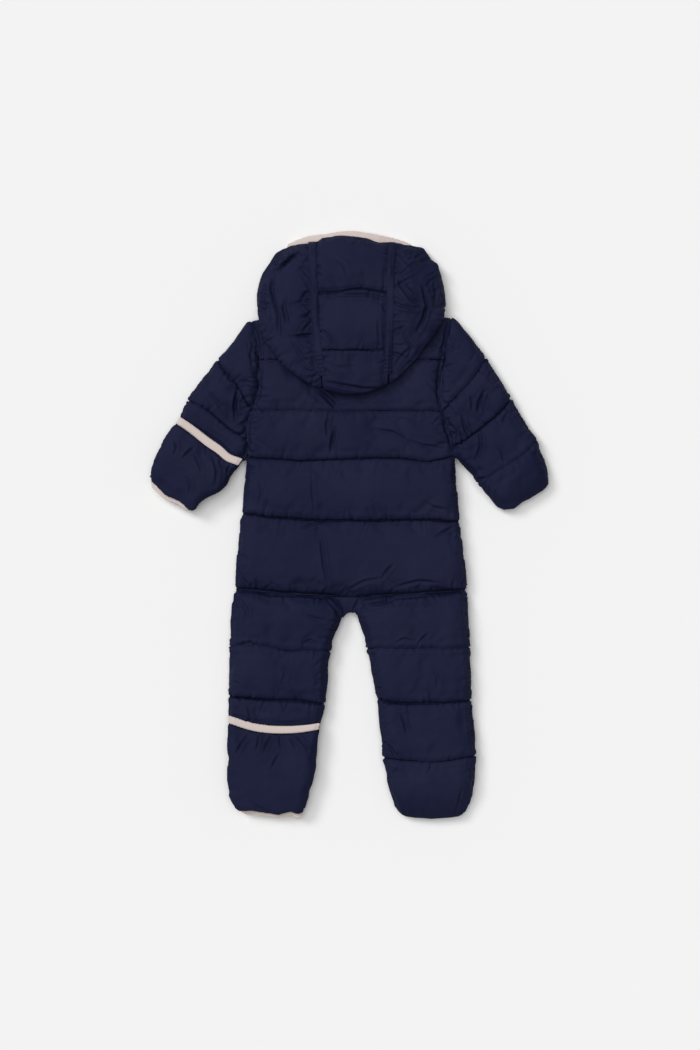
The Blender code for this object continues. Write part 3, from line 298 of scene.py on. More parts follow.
def sew_in(line, points, seed):
    """The wadding beside one row of stitches, the sharp dip of the row, and the puckers along it."""
    draw = np.random.default_rng(seed)
    u, v, channel, sewn = beside(line, points)
    v = v - sewn
    length = course(line)[0]
    inside = np.clip((u + 8) / 4, 0, 1) * np.clip((length + 8 - u) / 4, 0, 1)
    knots = max(3, int(length / KNOT_GAP))
    tight = np.interp(u, np.linspace(0, length, knots), draw.uniform(0.15, 1.0, knots))
    off = np.abs(v)
    wadding = PUFF + 4.0 * max(1 - line.pull, 0)
    dip = (ROW_DEEP + ROW_UNEVEN * tight) * line.pull + 0.5
    dip *= np.clip(1 - off / (1.9 + line.pull), 0, 1) ** 1.15
    lift = wadding * np.exp(-(off / PUFF_REACH) ** 2) - dip
    lift *= inside
    near = np.flatnonzero((off < 42) & (inside > 0))
    nu, nv = u[near], v[near]
    at = draw.uniform(0, 8)
    while at < length:
        side = draw.choice((-1, 1))
        reach, slant = draw.uniform(*PUCKER_REACH), draw.normal(0, 0.4)
        wide, deep = draw.uniform(*PUCKER_WIDE), draw.uniform(*PUCKER_DEEP) * (0.5 + 0.5 * line.pull)
        off = (nu - at - slant * nv) / wide
        fade = np.exp(-(nv / reach) ** 2) * np.clip(side * nv / 2 + 0.5, 0, 1)
        lift[near] += deep * fade * (0.5 * np.exp(-(off - 1.6) ** 2) - np.exp(-off ** 2))
        at += draw.uniform(*PUCKER_GAP)
    return lift


def fold_in(crease, points):
    """A soft trough through the points of a crease, this deep and wide, with the cloth raised beside it."""
    *path, deep, wide = crease
    lift = np.zeros(len(points))
    path = np.array(path, float)
    reach = 5 * wide
    around = (points[:, :2] > path.min(0) - reach) & (points[:, :2] < path.max(0) + reach)
    near = np.flatnonzero(around.all(1))
    spot = points[near, :2]
    lengths = np.hypot(*np.diff(path, axis=0).T)
    start = np.concatenate(([0], np.cumsum(lengths)))
    best = np.full(len(near), 1e9)
    signed, share = np.zeros(len(near)), np.zeros(len(near))
    for i, long in enumerate(lengths):
        way = (path[i + 1] - path[i]) / long
        ahead = np.clip((spot - path[i]) @ way, 0, long)
        gap = spot - path[i] - np.outer(ahead, way)
        far = np.hypot(*gap.T)
        nearer = far < best
        best[nearer] = far[nearer]
        signed[nearer] = (np.sign(gap @ (-way[1], way[0])) * far)[nearer]
        share[nearer] = ((start[i] + ahead) / start[-1])[nearer]
    taper = np.clip(np.sin(math.pi * np.clip(share, 0.04, 0.96)), 0, 1) ** 0.7
    off = signed / wide
    form = 0.5 * np.exp(-(off - 1.9) ** 2) + 0.25 * np.exp(-(off + 2.0) ** 2) - np.exp(-off ** 2)
    lift[near] = CRISP * deep * taper * form
    return lift


def gathered(path, seed, side, reach, deep, spacing=8.0):
    """Short creases that run in from a seam, where its thread draws the cloth together."""
    draw = np.random.default_rng(seed)
    path = np.array(path, float)
    lengths = np.hypot(*np.diff(path, axis=0).T)
    ends = np.cumsum(lengths)
    at, creases = draw.uniform(0, spacing), []
    while at < ends[-1]:
        i = int(np.searchsorted(ends, at))
        way = (path[i + 1] - path[i]) / lengths[i]
        start = path[i + 1] - way * (ends[i] - at)
        inward = np.array((-way[1], way[0])) * side
        run = (inward + way * draw.normal(0, 0.5)) * draw.uniform(0.3, 1) * reach
        middle = start + run / 2 + way * draw.normal(0, 0.1) * reach
        path_in = start - inward * 2, middle, start + run
        creases.append((*path_in, draw.uniform(0.3, 1) * deep, draw.uniform(1.4, 2.1)))
        at += draw.uniform(0.5, 1.6) * spacing
    return tuple(creases)


def seam_rise(joins, points):
    """How far the cloth stands up, or sinks, beside the pieces sewn to this one, each by its height."""
    rise = np.zeros(len(points))
    for join, height, reach in joins:
        tree = net(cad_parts[join].data)
        for i, point in enumerate(points):
            far = tree.find_nearest(Vector(point), 9)[3]
            if far is not None:
                here = height * math.exp(-(far / reach) ** 2)
                rise[i] = here if abs(here) > abs(rise[i]) else rise[i]
    return rise


def tug(tugs, points):
    """Draws the cloth sideways around a few places: x, y, how far it goes both ways, and its reach."""
    shift = np.zeros((len(points), 2))
    for x, y, dx, dy, reach in tugs:
        away = np.hypot(points[:, 0] - x, points[:, 1] - y)
        shift += np.outer(np.exp(-(away / reach) ** 2), (dx, dy))
    points[:, :2] += shift


def start_material(name):
    """A new material, how a node is added to it, and the place on the piece that its patterns follow."""
    material = bpy.data.materials.new(name)
    material.use_nodes = True
    tree = material.node_tree

    def add(kind, settings, **feeds):
        """One more node, or the shader, with its settings and the outputs that feed it."""
        node = tree.nodes["Principled BSDF"] if kind == "shader" else tree.nodes.new("ShaderNode" + kind)
        for socket, value in settings.items():
            node.inputs[socket].default_value = value
        for socket, output in feeds.items():
            tree.links.new(output, node.inputs[socket.replace("_", " ")])
        return node

    return material, add, add("TexCoord", {}).outputs["Object"]


def shades(add, pattern, dark, light, start=0.0, end=1.0):
    """A colour that runs from a dark to a light shade with a pattern."""
    surface_colour = add("ValToRGB", {}, Fac=pattern)
    for stop, place, shade in zip(surface_colour.color_ramp.elements, (start, end), (dark, light)):
        stop.position, stop.color = place, (*shade, 1)
    return surface_colour.outputs["Color"]


def relief(add, pattern, strength, deep, **under):
    """A pattern that stands up and sinks by this many mm."""
    bump = add("Bump", {"Strength": strength, "Distance": deep * MM}, Height=pattern, **under)
    return bump.outputs["Normal"]


def tinted(tone, *shares):
    """A colour with more or less of its red, green and blue."""
    return [part * share for part, share in zip(tone, shares)]


def nylon(name, tone, weave=1.0, roughness=0.62):
    """Matt down-proof nylon: a fine plain weave, faint crinkles, and tones that vary a little."""
    cloth, add, where = start_material(name)
    tones = add("TexNoise", {"Scale": 17, "Detail": 6}, Vector=where).outputs["Fac"]
    surface_colour = shades(add, tones, tinted(tone, 0.76, 0.82, 0.88), tinted(tone, 1.16, 1.12, 1.08), 0.3, 0.72)
    crinkle = add("TexNoise", {"Scale": 210, "Detail": 4}, Vector=where).outputs["Fac"]
    cross = add("Math", {})
    cross.operation = "MAXIMUM"
    for i, direction in enumerate("XY"):
        yarn = add("TexWave", {"Scale": 520 * weave, "Distortion": 0.6}, Vector=where)
        yarn.bands_direction = direction
        cloth.node_tree.links.new(yarn.outputs["Fac"], cross.inputs[i])
    fine = relief(add, cross.outputs["Value"], 0.22, 0.12, Normal=relief(add, crinkle, 0.28, 0.9))
    add("shader", {"Roughness": roughness, "Specular IOR Level": 0.05}, Base_Color=surface_colour, Normal=fine)
    return cloth


def make(name, corners, faces, material, smooth=True):
    """A piece from its corners, in mm, and its faces."""
    mesh = bpy.data.meshes.new(name)
    mesh.from_pydata([Vector(c) * MM for c in corners], [], faces)
    mesh.polygons.foreach_set("use_smooth", [smooth] * len(mesh.polygons))
    mesh.materials.append(material)
    return link(name, mesh)


def skin_rings(corners, faces, rings, closed=False, turned=False):
    """Adds the skin of a rod through rings of points, closed on itself or with a cap at both ends."""
    first, around = len(corners), len(rings[0])
    last = first + (len(rings) - 1) * around
    corners.extend(corner for ring in rings for corner in ring)
    fresh = []
    for i in range(len(rings) - (not closed)):
        here, there = first + i * around, first + (i + 1) % len(rings) * around
        for k in range(around):
            beyond = (k + 1) % around
            fresh.append((here + k, here + beyond, there + beyond, there + k))
    if not closed:
        fresh += [tuple(range(first + around - 1, first - 1, -1)), tuple(range(last, last + around))]
    faces.extend(face[::-1] if turned else face for face in fresh)


def dress(piece, material):
    """Gives a piece its cloth, smoothly shaded."""
    piece.data.polygons.foreach_set("use_smooth", [True] * len(piece.data.polygons))
    piece.data.materials.clear()
    piece.data.materials.append(material)


STITCH_FORM = ((-0.5, 0.25), (-0.32, 0.85), (0.0, 1.0), (0.32, 0.85), (0.5, 0.25))


def stitch_rows(name, piece, paths, faces_up=(1,), long=2.5, gap=0.9, thick=0.42):
    """Rows of machine stitches, each a short rounded length of thread lying on the cloth."""
    tree = net(piece.data)
    corners, faces = [], []
    for path, up in [(path, up) for path in paths for up in faces_up]:
        path = np.array(path, float)
        starts = np.concatenate(([0], np.cumsum(np.hypot(*np.diff(path, axis=0).T))))
        at = long / 2
        while at < starts[-1] - long / 2:
            ends = [(np.interp(a, starts, path[:, 0]), np.interp(a, starts, path[:, 1]))
                    for a in (at - long / 2, at + long / 2)]
            at += long + gap
            hits = [tree.ray_cast(Vector((x, y, 90 * up)), Vector((0, 0, -up)))[0] for x, y in ends]
            if None in hits or (hits[1] - hits[0]).length > 1.6 * long:
                continue
            way = (hits[1] - hits[0]).normalized()
            side = way.cross(Vector((0, 0, up))).normalized()
            over = side.cross(way)
            rings = []
            for place, size in STITCH_FORM:
                middle = (hits[0] + hits[1]) / 2 + way * place * long + over * 0.1 * size
                rings.append([middle + (side * math.cos(turn) + over * math.sin(turn)) * thick / 2 * size
                              for turn in (k * math.pi / 3 for k in range(6))])
            skin_rings(corners, faces, rings)
    stitches = make(name, corners, faces, navy_thread)
    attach(stitches, "garment")


def row_path(line, inset=1.5):
    """Points along a sewn row, in mm."""
    length, way, up = course(line)
    straight = np.array((line.x1, line.y1)) + np.outer(np.linspace(inset, length - inset, 60), way)
    return straight + np.outer(beside(line, straight)[3], up)


def quilted(node, lines, creases, seed, square=FINE_CLOTH, swell=1.6, rough=0.35, faces_up=(1,),
            meet=2.0, joins=(), tugs=(), mouth=None, end=None):
    """One quilted piece: its cloth, plumped, stitched through, puckered and creased."""
    piece = drape_over(node, node + "_quilted", square)
    put(piece, wander(places(piece), lines))
    if swell:
        plump(piece, node, lines, swell)
    refine(piece)
    cut_rows(piece, lines)
    points, ways = places(piece), facings(piece)
    lift = uneven(points, seed, 75, 2.2 * rough) + uneven(points, seed + 1, 30, rough)
    lift += uneven(points, seed + 2, 13, 0.3 * rough)
    for i, line in enumerate(lines):
        lift += sew_in(line, points, seed * 31 + i)
    outward = np.clip(3 * ways[:, 2] * faces_up[0], 0, 1)
    for crease in creases:
        lift += fold_in(crease, points) * outward
    lift *= np.clip((np.abs(ways[:, 2]) - 0.1) / 0.45, 0.15, 1)
    if faces_up[0] > 0:
        lift *= np.where(ways[:, 2] < -0.3, 0.25, 1)
    room = room_before(node, points, ways, LET_OUT)
    lift *= eased(piece, np.clip((room - 0.4) / 1.2, 0, 1))
    lift = np.minimum(lift, room)
    gap = room_before(node, points, ways, LET_OUT, bindings=False)
    closing = (gap < meet) & (np.abs(ways[:, 2]) < 0.75) & (points[:, 2] < SLIT_BELOW)
    lift += np.where(closing, gap + 0.2, 0)
    points += ways * lift[:, None]
    upper = np.clip((points[:, 2] - UNDERSIDE) / 4, 0, 1) * np.clip(3 * ways[:, 2] + 1.2, 0, 1)
    unlike = np.clip(1 + uneven(points, seed + 3, 22, 0.4), 0.45, 1.7)
    points[:, 2] += seam_rise(joins, points) * unlike * upper
    points[:, 2] = np.maximum(points[:, 2], 0.0)
    if mouth:
        fill_hem(piece, points, ways, mouth)
    tug(tugs, points)
    if end:
        run_on(end, points)
    put(piece, points)
    dress(piece, navy_nylon)
    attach(piece, "garment")
    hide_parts(node)
    if lines:
        stitch_rows(node + "_stitches", piece, [row_path(line) for line in lines], faces_up)
    return piece


NAVY = (0.0103, 0.0124, 0.0360)
navy_nylon = nylon("navy_nylon", NAVY)

# Twisted polyester sewing thread, a little darker than the cloth.
navy_thread, add, where = start_material("navy_thread")
twist = add("TexWave", {"Scale": 900}, Vector=where)
twist.bands_direction = "DIAGONAL"
add("shader", {"Base Color": (0.0055, 0.0065, 0.022, 1), "Roughness": 0.5, "Specular IOR Level": 0.15},
    Normal=relief(add, twist.outputs["Fac"], 0.4, 0.1))

BACK_LINES = (
    Line(-119.3, 218.4, 124.6, 218.4, 0.0, (0, 1, -1, 0, 1, 0, -1, 1, 0), 0.6),
    Line(-130.0, 151.0, 123.3, 149.2, 0.0, (0, 0.6, 1.1, 1.1, -0.6, 0.9, 0.8, 1.2, 1.8), 0.5),
    Line(-134.0, 88.4, 138.0, 89.7, -2.5, (0, -0.2, -2.5, -1.0, 0.3, 1.7, 0.1, -5.5, 0), 0.9),
    Line(-143.3, 13.7, 144.7, 3.7, -4.0, (2.0, -1.2, -0.8, -1.8, 0.8, 0.9, 2.9, 2.7, -1.3), 1.2),
)
BACK_CREASES = (
    ((-19, 128), (-22, 112), (-25, 95), 2.1, 2.2), ((-26, 148), (-30, 134), (-29, 119), 1.4, 1.7),
    ((-50, 68), (-49, 42), (-46, 15), 0.8, 1.6), ((-38, -12), (-33, -58), (-26, -88), 1.4, 2.2),
    ((31, 126), (58, 122), (74, 112), (77, 104), 1.3, 1.9), ((81, 110), (98, 104), (118, 102), 1.1, 1.9),
    ((-66, -6), (-50, -1), (-35, 3), 1.4, 1.6), ((114, -17), (130, -8), (145, -1), 1.4, 1.9),
    ((58, -54), (51, -61), (45, -70), 1.4, 1.9), ((-150, -58), (-144, -72), (-133, -84), 1.6, 2.4),
    ((-42, 179), (-29, 167), (-17, 155), 2.8, 2.6), ((100, 30), (112, 22), (128, 19), 0.8, 1.9),
    ((-120, 60), (-116, 40), (-122, 22), 0.7, 2.2), ((70, 140), (88, 134), (101, 136), 0.7, 1.7),
    ((-4, -88), (20, -76), (44, -72), 0.9, 2.0), ((60, -84), (92, -76), (120, -78), 0.9, 2.0),
    ((-146, 8), (-150, 0), (-146, -12), 0.9, 1.6),
)
LEFT_ARMHOLE = ((-117, 238), (-119, 218), (-130, 151), (-134, 92))
RIGHT_ARMHOLE = ((122, 238), (124.6, 218), (123.3, 149), (136, 92))
SEAT_SEAM = ((-152, -84), (-110, -89.5), (-55, -93.5), (0, -94.5), (60, -93.5), (115, -89.5), (155, -85))
BACK_CREASES += gathered(LEFT_ARMHOLE, 111, 1, 24, 0.9) + gathered(RIGHT_ARMHOLE, 112, -1, 24, 0.9)
BACK_CREASES += gathered(SEAT_SEAM, 113, 1, 16, 0.8, 11)
BACK_CREASES += gathered(((-134, 84), (-143, 14), (-152, -80)), 114, 1, 14, 0.7, 10)
BACK_CREASES += gathered(((138, 84), (144.7, 4), (156, -80)), 115, -1, 14, 0.7, 10)
quilted("back", BACK_LINES, BACK_CREASES, 11,
        joins=(("sleeve_left", 3.6, 3), ("sleeve_right", 3.6, 3), ("leg_left", -8.5, 3.8),
               ("leg_right", -8.5, 3.8)))


# ---- front panels
# Two narrower quilted pieces, left and right of the zip, which lie flat on the surface. They have
# the same nylon, wadding and rows of stitches as the back, at the same heights.
FRONT_LEFT_LINES = (
    Line(-119.3, 218.4, -7.0, 215.7, 0.0, (0, 1, -1, 0)),
    Line(-130.0, 151.0, -7.0, 151.0, 0.0, (0, -1, 1, 0)),
    Line(-134.0, 88.4, -7.0, 86.2, 0.0, (0, 1, 0, 1)),
    Line(-143.3, 13.7, -7.0, 5.7, 0.0, (0, -1, 1, 0)),
    Line(-149.5, -58.3, -7.0, -60.3, 0.0, (0, 1, -1, 0)),
)
FRONT_RIGHT_LINES = (
    Line(124.7, 218.4, 7.0, 215.7, 0.0, (0, -1, 1, 0)),
    Line(123.3, 151.0, 7.0, 151.0, 0.0, (0, 1, 1, 0)),
    Line(138.0, 89.7, 7.0, 86.2, 0.0, (0, -1, 1, 0)),
    Line(144.7, 3.7, 7.0, 5.7, 0.0, (0, 1, -1, 0)),
    Line(152.0, -58.3, 7.0, -60.3, 0.0, (0, 1, 0, 1)),
)
HIDDEN_CLOTH = 5.0
FRONT_LEFT_CREASES = (
    ((-112, 196), (-98, 180), (-92, 158), 0.9, 2.6), ((-60, 140), (-52, 122), (-55, 98), 0.8, 2.4),
    ((-124, 70), (-106, 56), (-98, 34), 0.9, 2.6), ((-30, -6), (-44, -24), (-48, -50), 0.8, 2.4),
)
FRONT_RIGHT_CREASES = (
    ((108, 204), (100, 182), (84, 166), 0.9, 2.6), ((124, 138), (104, 128), (92, 104), 0.8, 2.4),
    ((40, 72), (52, 50), (50, 22), 0.9, 2.6), ((132, -8), (112, -26), (104, -50), 0.8, 2.4),
)
quilted("front_left", FRONT_LEFT_LINES, FRONT_LEFT_CREASES, 21, HIDDEN_CLOTH, 0, 0.3, (-1,))
quilted("front_right", FRONT_RIGHT_LINES, FRONT_RIGHT_CREASES, 22, HIDDEN_CLOTH, 0, 0.3, (-1,))


# ---- sleeves
# Each is one quilted piece, sewn into the armhole and closed along its inner side, and it lies
# flat with nothing in it. Its rows of stitches run round it, square to the arm.
Hem = namedtuple("Hem", "x1 y1 x2 y2 rounding")
HEM_SLOPE = 10.0  # over how much of its length a limb slopes down to a mouth over its hem
ROUND_FROM = 18.0  # how far above its hem a limb starts to run out over its turned end


def past_hem(hem, points):
    """How far points lie past a hem, how far its cloth runs on there, and the way it runs."""
    start = np.array((hem.x1, hem.y1))
    run = np.array((hem.x2, hem.y2)) - start
    length = np.hypot(*run)
    run = run / length
    out = np.array((run[1], -run[0])) * (1 if run[0] > 0 else -1)
    along = (points[:, :2] - start) @ run
    corner = np.clip(np.minimum(along, length - along), 0, None)
    depth = np.interp(corner, [place for place, deep in hem.rounding], [deep for place, deep in hem.rounding])
    return (points[:, :2] - start) @ out, depth, out


def fill_hem(piece, points, ways, mouth):
    """Carries the wadding on to the bound mouth that lies over a hem, so that no step shows beside it."""
    rim = net(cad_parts[mouth].data)
    own = BVHTree.FromPolygons([Vector(p) for p in points], [list(f.vertices) for f in piece.data.polygons])
    for i in np.flatnonzero((points[:, 2] > 12) & (ways[:, 2] > 0.2)):
        x, y, z = points[i]
        spot = rim.find_nearest(Vector((x, y, z)), 14)[0]
        if spot is None or rim.ray_cast(Vector((x, y, -5)), Vector((0, 0, 1)))[0] is not None:
            continue
        away = Vector((x - spot.x, y - spot.y))
        if 0.05 < away.length < HEM_SLOPE:
            inner = Vector((x, y)) + away.normalized() * (HEM_SLOPE - away.length)
            crest = own.ray_cast(Vector((inner.x, inner.y, 90)), Vector((0, 0, -1)))[0]
            if crest is not None:
                points[i, 2] = max(z, crest.z - 0.3 * (HEM_SLOPE - away.length))


def run_on(hem, points):
    """Draws the end of a limb out over the mitt or bootie that is turned under it."""
    past, depth, out = past_hem(hem, points)
    share = np.clip(past / ROUND_FROM + 1, 0, 1)
    points[:, :2] += np.outer(depth * share ** 2, out)
    points[:, 2] -= np.clip(points[:, 2] - 6, 0, None) * 0.3 * share ** 4


SLEEVE_LEFT_LINES = (
    Line(-175.0, 219.2, -129.0, 153.2, -2.0, (-2.1, -1.2, 0.4, 2.0, 3.3, 2.7, 1.0, -0.9, -2.7), 0.8),
    Line(-214.0, 163.7, -137.0, 111.2, 3.0, (2.8, 1.9, 1.6, 0.9, -0.9, -2.3, -2.6, -0.9, 1.2), 0.7),
)
SLEEVE_LEFT_CREASES = (
    ((-149, 179), (-152, 160), (-151, 139), 3.0, 2.3), ((-187, 179), (-180, 168), (-170, 155), 0.9, 1.7),
    ((-128, 240), (-131, 222), (-127, 205), 0.9, 1.9), ((-166, 200), (-158, 190), (-148, 186), 0.9, 1.7),
)
SLEEVE_RIGHT_LINES = (
    Line(180.0, 221.2, 124.0, 149.7, -3.0, (-0.8, -1.4, -2.1, -1.6, -1.5, -0.2, 1.6, 0.1, -2.0), 0.7),
    Line(214.5, 167.2, 138.0, 101.7, 2.0, (-1.8, -3.9, -5.9, -6.5, -6.2, -5.6, -4.3, -2.7, -0.9)),
    Line(246.5, 111.2, 173.0, 56.7, 2.0, (-4.0, -6.0, -7.5, -7.5, -7.0, -6.0, -5.0, -4.0, -3.0), 0.2),
)
SLEEVE_RIGHT_CREASES = (
    ((150, 144), (153, 130), (158, 118), 1.8, 1.9), ((161, 171), (163, 161), (163, 150), 1.4, 1.6),
    ((179, 176), (173, 163), (171, 150), 2.1, 2.0), ((174, 123), (175, 104), (169, 86), 1.7, 2.0),
    ((233, 51), (239, 46), (243, 39), 1.1, 1.6), ((215, 27), (234, 37), (254, 46), 0.9, 1.4),
    ((134, 132), (141, 124), (140, 112), 1.6, 1.6), ((144, 128), (150, 117), (148, 104), 1.4, 1.4),
    ((196, 104), (204, 94), (205, 82), 0.9, 1.7), ((212, 150), (206, 141), (204, 131), 0.9, 1.7),
)
SLEEVE_LEFT_CREASES += gathered(LEFT_ARMHOLE, 311, -1, 24, 1.0, 7)
SLEEVE_LEFT_CREASES += gathered(((-128, 246), (-175, 219), (-214, 164), (-226, 150)), 312, 1, 13, 0.8, 8)
SLEEVE_LEFT_CREASES += gathered(((-222, 142), (-186, 118), (-143, 95)), 313, 1, 12, 0.6, 9)
SLEEVE_RIGHT_CREASES += gathered(RIGHT_ARMHOLE, 321, 1, 26, 1.0, 7)
SLEEVE_RIGHT_CREASES += gathered(((130, 246), (180, 221), (214, 167), (246, 111), (264, 64)), 322, -1, 14,
                                 0.8, 9)
SLEEVE_RIGHT_CREASES += gathered(((140, 84), (173, 57), (197, 32)), 323, 1, 16, 0.9, 8)
LEFT_HAND_TUGS = ((-141, 62, -10, 0, 18), (-194, 32, -14, -1, 24), (-240, 44, -3, -5, 18),
                  (-196, 31, 3, -7, 12), (-157, 92, -3, -4, 14), (-186, 32, -3, 0, 9))
RIGHT_HAND_TUGS = ((214, 34, -3.5, 0, 18), (201, 28, 3, -8, 10), (216, 37, 2, -6.5, 10))
RIGHT_MITT_HEM = Hem(265.5, 62.0, 197.5, 31.0, ((0, 0.5), (3, 5), (8, 8), (14, 10), (37, 13)))
quilted("sleeve_left", SLEEVE_LEFT_LINES, SLEEVE_LEFT_CREASES, 31, faces_up=(1, -1),
        joins=(("back", 3.6, 3),), tugs=LEFT_HAND_TUGS, mouth="mitt_binding_left")
quilted("sleeve_right", SLEEVE_RIGHT_LINES, SLEEVE_RIGHT_CREASES, 32, faces_up=(1, -1),
        joins=(("back", 3.6, 3),), tugs=RIGHT_HAND_TUGS, end=RIGHT_MITT_HEM)


# ---- legs
# Each is one quilted piece of the same nylon and wadding, sewn to the seat seam and closed along
# its inner side. The rows of stitches run straight across it.
LEG_LEFT_LINES = (
    Line(-157.5, -162.3, -20.5, -168.8, -1.0, (1.4, 3.3, 4.6, 2.7, -0.9, -1.9, 1.3, -0.1, -1.8), 0.45),
    Line(-160.0, -229.3, -34.0, -239.3, -1.0, (0.4, 0.3, 0.4, 0.5, 1.0, 2.2, 2.7, 1.0, -0.5), 1.2),
)
LEG_LEFT_CREASES = (
    ((-135, -244), (-132, -254), (-127, -262), 1.5, 1.7), ((-60, -120), (-44, -126), (-30, -128), 0.9, 2.2),
    ((-95, -180), (-84, -196), (-88, -212), 0.7, 2.2), ((-146, -100), (-136, -114), (-138, -130), 1.0, 2.2),
    ((-30, -100), (-22, -108), (-14, -118), 1.0, 1.5), ((-150, -158), (-132, -155), (-118, -162), 0.9, 1.6),
    ((-60, -158), (-48, -154), (-34, -160), 0.8, 1.6),
)
LEG_RIGHT_LINES = (
    Line(159.0, -163.6, 25.0, -165.0, -1.0, (0, -0.3, -0.3, 0.1, 0.3, 0.4, 0.4, 0.3, 0), 0.45),
    Line(161.5, -233.8, 37.5, -233.0, -5.0, (-0.5, 0.4, 0.5, 0.4, 0.3, -0.3, -1.4, -1.3, 0), 1.2),
    Line(167.0, -308.3, 47.0, -310.3, -5.0, (0.7, -0.1, -1.2, -1.9, -2.3, -1.3, -0.8, -0.7, -1.3), 0.65),
)
LEG_RIGHT_CREASES = (
    ((14, -109), (41, -105), (63, -98), (103, -93), 2.5, 2.4), ((70, -254), (74, -266), (77, -278), 1.4, 1.7),
    ((45, -288), (54, -297), (63, -308), 1.5, 2.0), ((90, -161), (97, -152), (105, -145), 1.1, 1.7),
    ((108, -368), (116, -374), (126, -379), 1.0, 1.6), ((96, -366), (104, -372), (108, -380), 0.8, 1.4),
    ((110, -190), (118, -204), (116, -220), 0.7, 2.2), ((12, -104), (22, -112), (40, -112), 1.0, 1.6),
    ((60, -158), (72, -152), (88, -156), 0.9, 1.6), ((70, -364), (78, -374), (90, -382), 0.9, 1.5),
    ((150, -352), (146, -364), (138, -374), 0.8, 1.5),
)
LEG_LEFT_CREASES += (((-122, -90), (-108, -94.5), (-82, -95), (-56, -96), (-32, -98), 1.7, 1.6),)
LEG_LEFT_CREASES += gathered(SEAT_SEAM[:4], 411, -1, 18, 0.8, 9)
LEG_LEFT_CREASES += gathered(((-153, -90), (-157, -162), (-160, -229), (-160, -250)), 412, 1, 13, 0.7, 10)
LEG_LEFT_CREASES += gathered(((-14, -122), (-26, -168), (-36, -237)), 413, -1, 15, 0.8, 8)
LEG_RIGHT_CREASES += gathered(SEAT_SEAM[3:], 421, -1, 18, 0.8, 9)
LEG_RIGHT_CREASES += gathered(((157, -90), (159, -163), (161, -234), (167, -308), (168, -350)), 422, -1,
                              13, 0.7, 10)
LEG_RIGHT_CREASES += gathered(((12, -120), (25, -165), (37, -233), (47, -310), (52, -350)), 423, 1,
                              15, 0.8, 9)
LEFT_KNEE_TUGS = ((-9, -119, 3, 0, 6), (-22, -172, -8, 0, 38))
LEFT_FOOT_TUGS = ((-50, -352, -6, 0, 28), (-38, -296, -4, 0, 26), (-146, -375, -4, 0, 9),
                  (-132, -388, 3, 2, 8), (-68, -385, 1, -4, 9), (-77, -386, 0, 2, 5),
                  (-156, -364, -3.5, 0, 10), (-93, -388, 0, -2.2, 12))
RIGHT_BOOT_HEM = Hem(158.0, -371.0, 62.0, -371.0,
                     ((0, 5.5), (3, 9.5), (8, 13.8), (13, 16.2), (24, 17.8), (36, 18.6), (48, 19.5)))
quilted("leg_left", LEG_LEFT_LINES, LEG_LEFT_CREASES, 41, faces_up=(1, -1),
        joins=(("back", -7, 3.0), ("gusset", 2, 3)), tugs=LEFT_FOOT_TUGS + LEFT_KNEE_TUGS,
        mouth="boot_binding_left")
quilted("leg_right", LEG_RIGHT_LINES, LEG_RIGHT_CREASES, 42, faces_up=(1, -1),
        joins=(("back", -7, 3.0), ("gusset", 2, 3)), end=RIGHT_BOOT_HEM)


# ---- crotch gusset
# A small diamond of the same nylon between the legs, flatter than the rest, with short folds
# that run down to its point.
GUSSET_CREASES = (
    ((-15, -98), (-10, -107), (-6, -116), 0.9, 1.2), ((10, -98), (6, -107), (2, -115), 0.9, 1.2),
)
GUSSET_X, GUSSET_LOW = -2.6, -117.0
ARCH_X, ARCH_Y, ARCH_RADIUS = 1.8, -127.0, 9.8
gusset = quilted("gusset", (), GUSSET_CREASES, 51, 2.0, 0, 0.2, meet=3.5)
spots = places(gusset)
low = np.clip((GUSSET_LOW + 9 - spots[:, 1]) / 9, 0, 1)
spots[:, 0] += np.clip(0.4 * (spots[:, 0] - GUSSET_X), -2.2, 2.6) + 2.6 * low
rim = ARCH_Y + np.sqrt(np.clip(ARCH_RADIUS ** 2 - (spots[:, 0] - ARCH_X) ** 2, 12, None))
spots[:, 1] += (rim - GUSSET_LOW) * low
put(gusset, spots)


# ---- hood
# Three wadded pieces, a centre strip from the brim to the nape and a shaped side left and right
# of it. It lies face down over the neck of the back, with nothing in it, and sags into folds.
HOOD_CENTRE_LINES = (
    Line(-55.0, 302.5, 58.0, 304.0, 0.0, (0, 2.5, 2.9, 3.8, 6.6, 7.5, 5.0, 3.0, 0.5), 1.2),
    Line(-50.0, 229.7, 55.0, 229.7, 0.0, (0.5, 0, 0.8, 0, 1.0, 0.2, 0, 0.5, 0), 0.8),
)
HOOD_CENTRE_CREASES = (
    ((-39, 298), (-10, 303), (33, 302), (55, 294), 1.6, 1.9),
    ((-50, 256), (-33, 254), (-23, 244), (-15, 231), 1.5, 1.7),
    ((-33, 188), (-6, 183), (19, 179), (45, 179), 1.4, 2.2), ((38, 271), (39, 246), (39, 222), 1.0, 1.4),
    ((-6, 374), (2, 371), (11, 374), 1.1, 1.4), ((16, 378), (24, 371), (36, 372), 1.1, 1.6),
    ((-20, 352), (-8, 344), (-2, 330), 0.6, 2.2), ((-32, 214), (-14, 206), (8, 208), 0.6, 2.3),
)
HOOD_LEFT_CREASES = (
    ((-95, 336), (-82, 349), (-69, 360), 3.0, 2.0),
    ((-101, 336), (-103, 312), (-94, 275), (-93, 250), 2.5, 2.4),
    ((-73, 248), (-60, 250), (-50, 250), 1.5, 1.6), ((-61, 255), (-56, 262), (-50, 267), 1.5, 1.6),
    ((-84, 302), (-86, 284), (-80, 262), 1.4, 2.3), ((-78, 246), (-66, 226), (-52, 208), 1.0, 2.4),
    ((-112, 318), (-114, 296), (-110, 276), 1.0, 2.2), ((-88, 346), (-76, 356), (-62, 362), 1.0, 1.6),
    ((-64, 210), (-58, 204), (-48, 200), 1.0, 1.6),
)
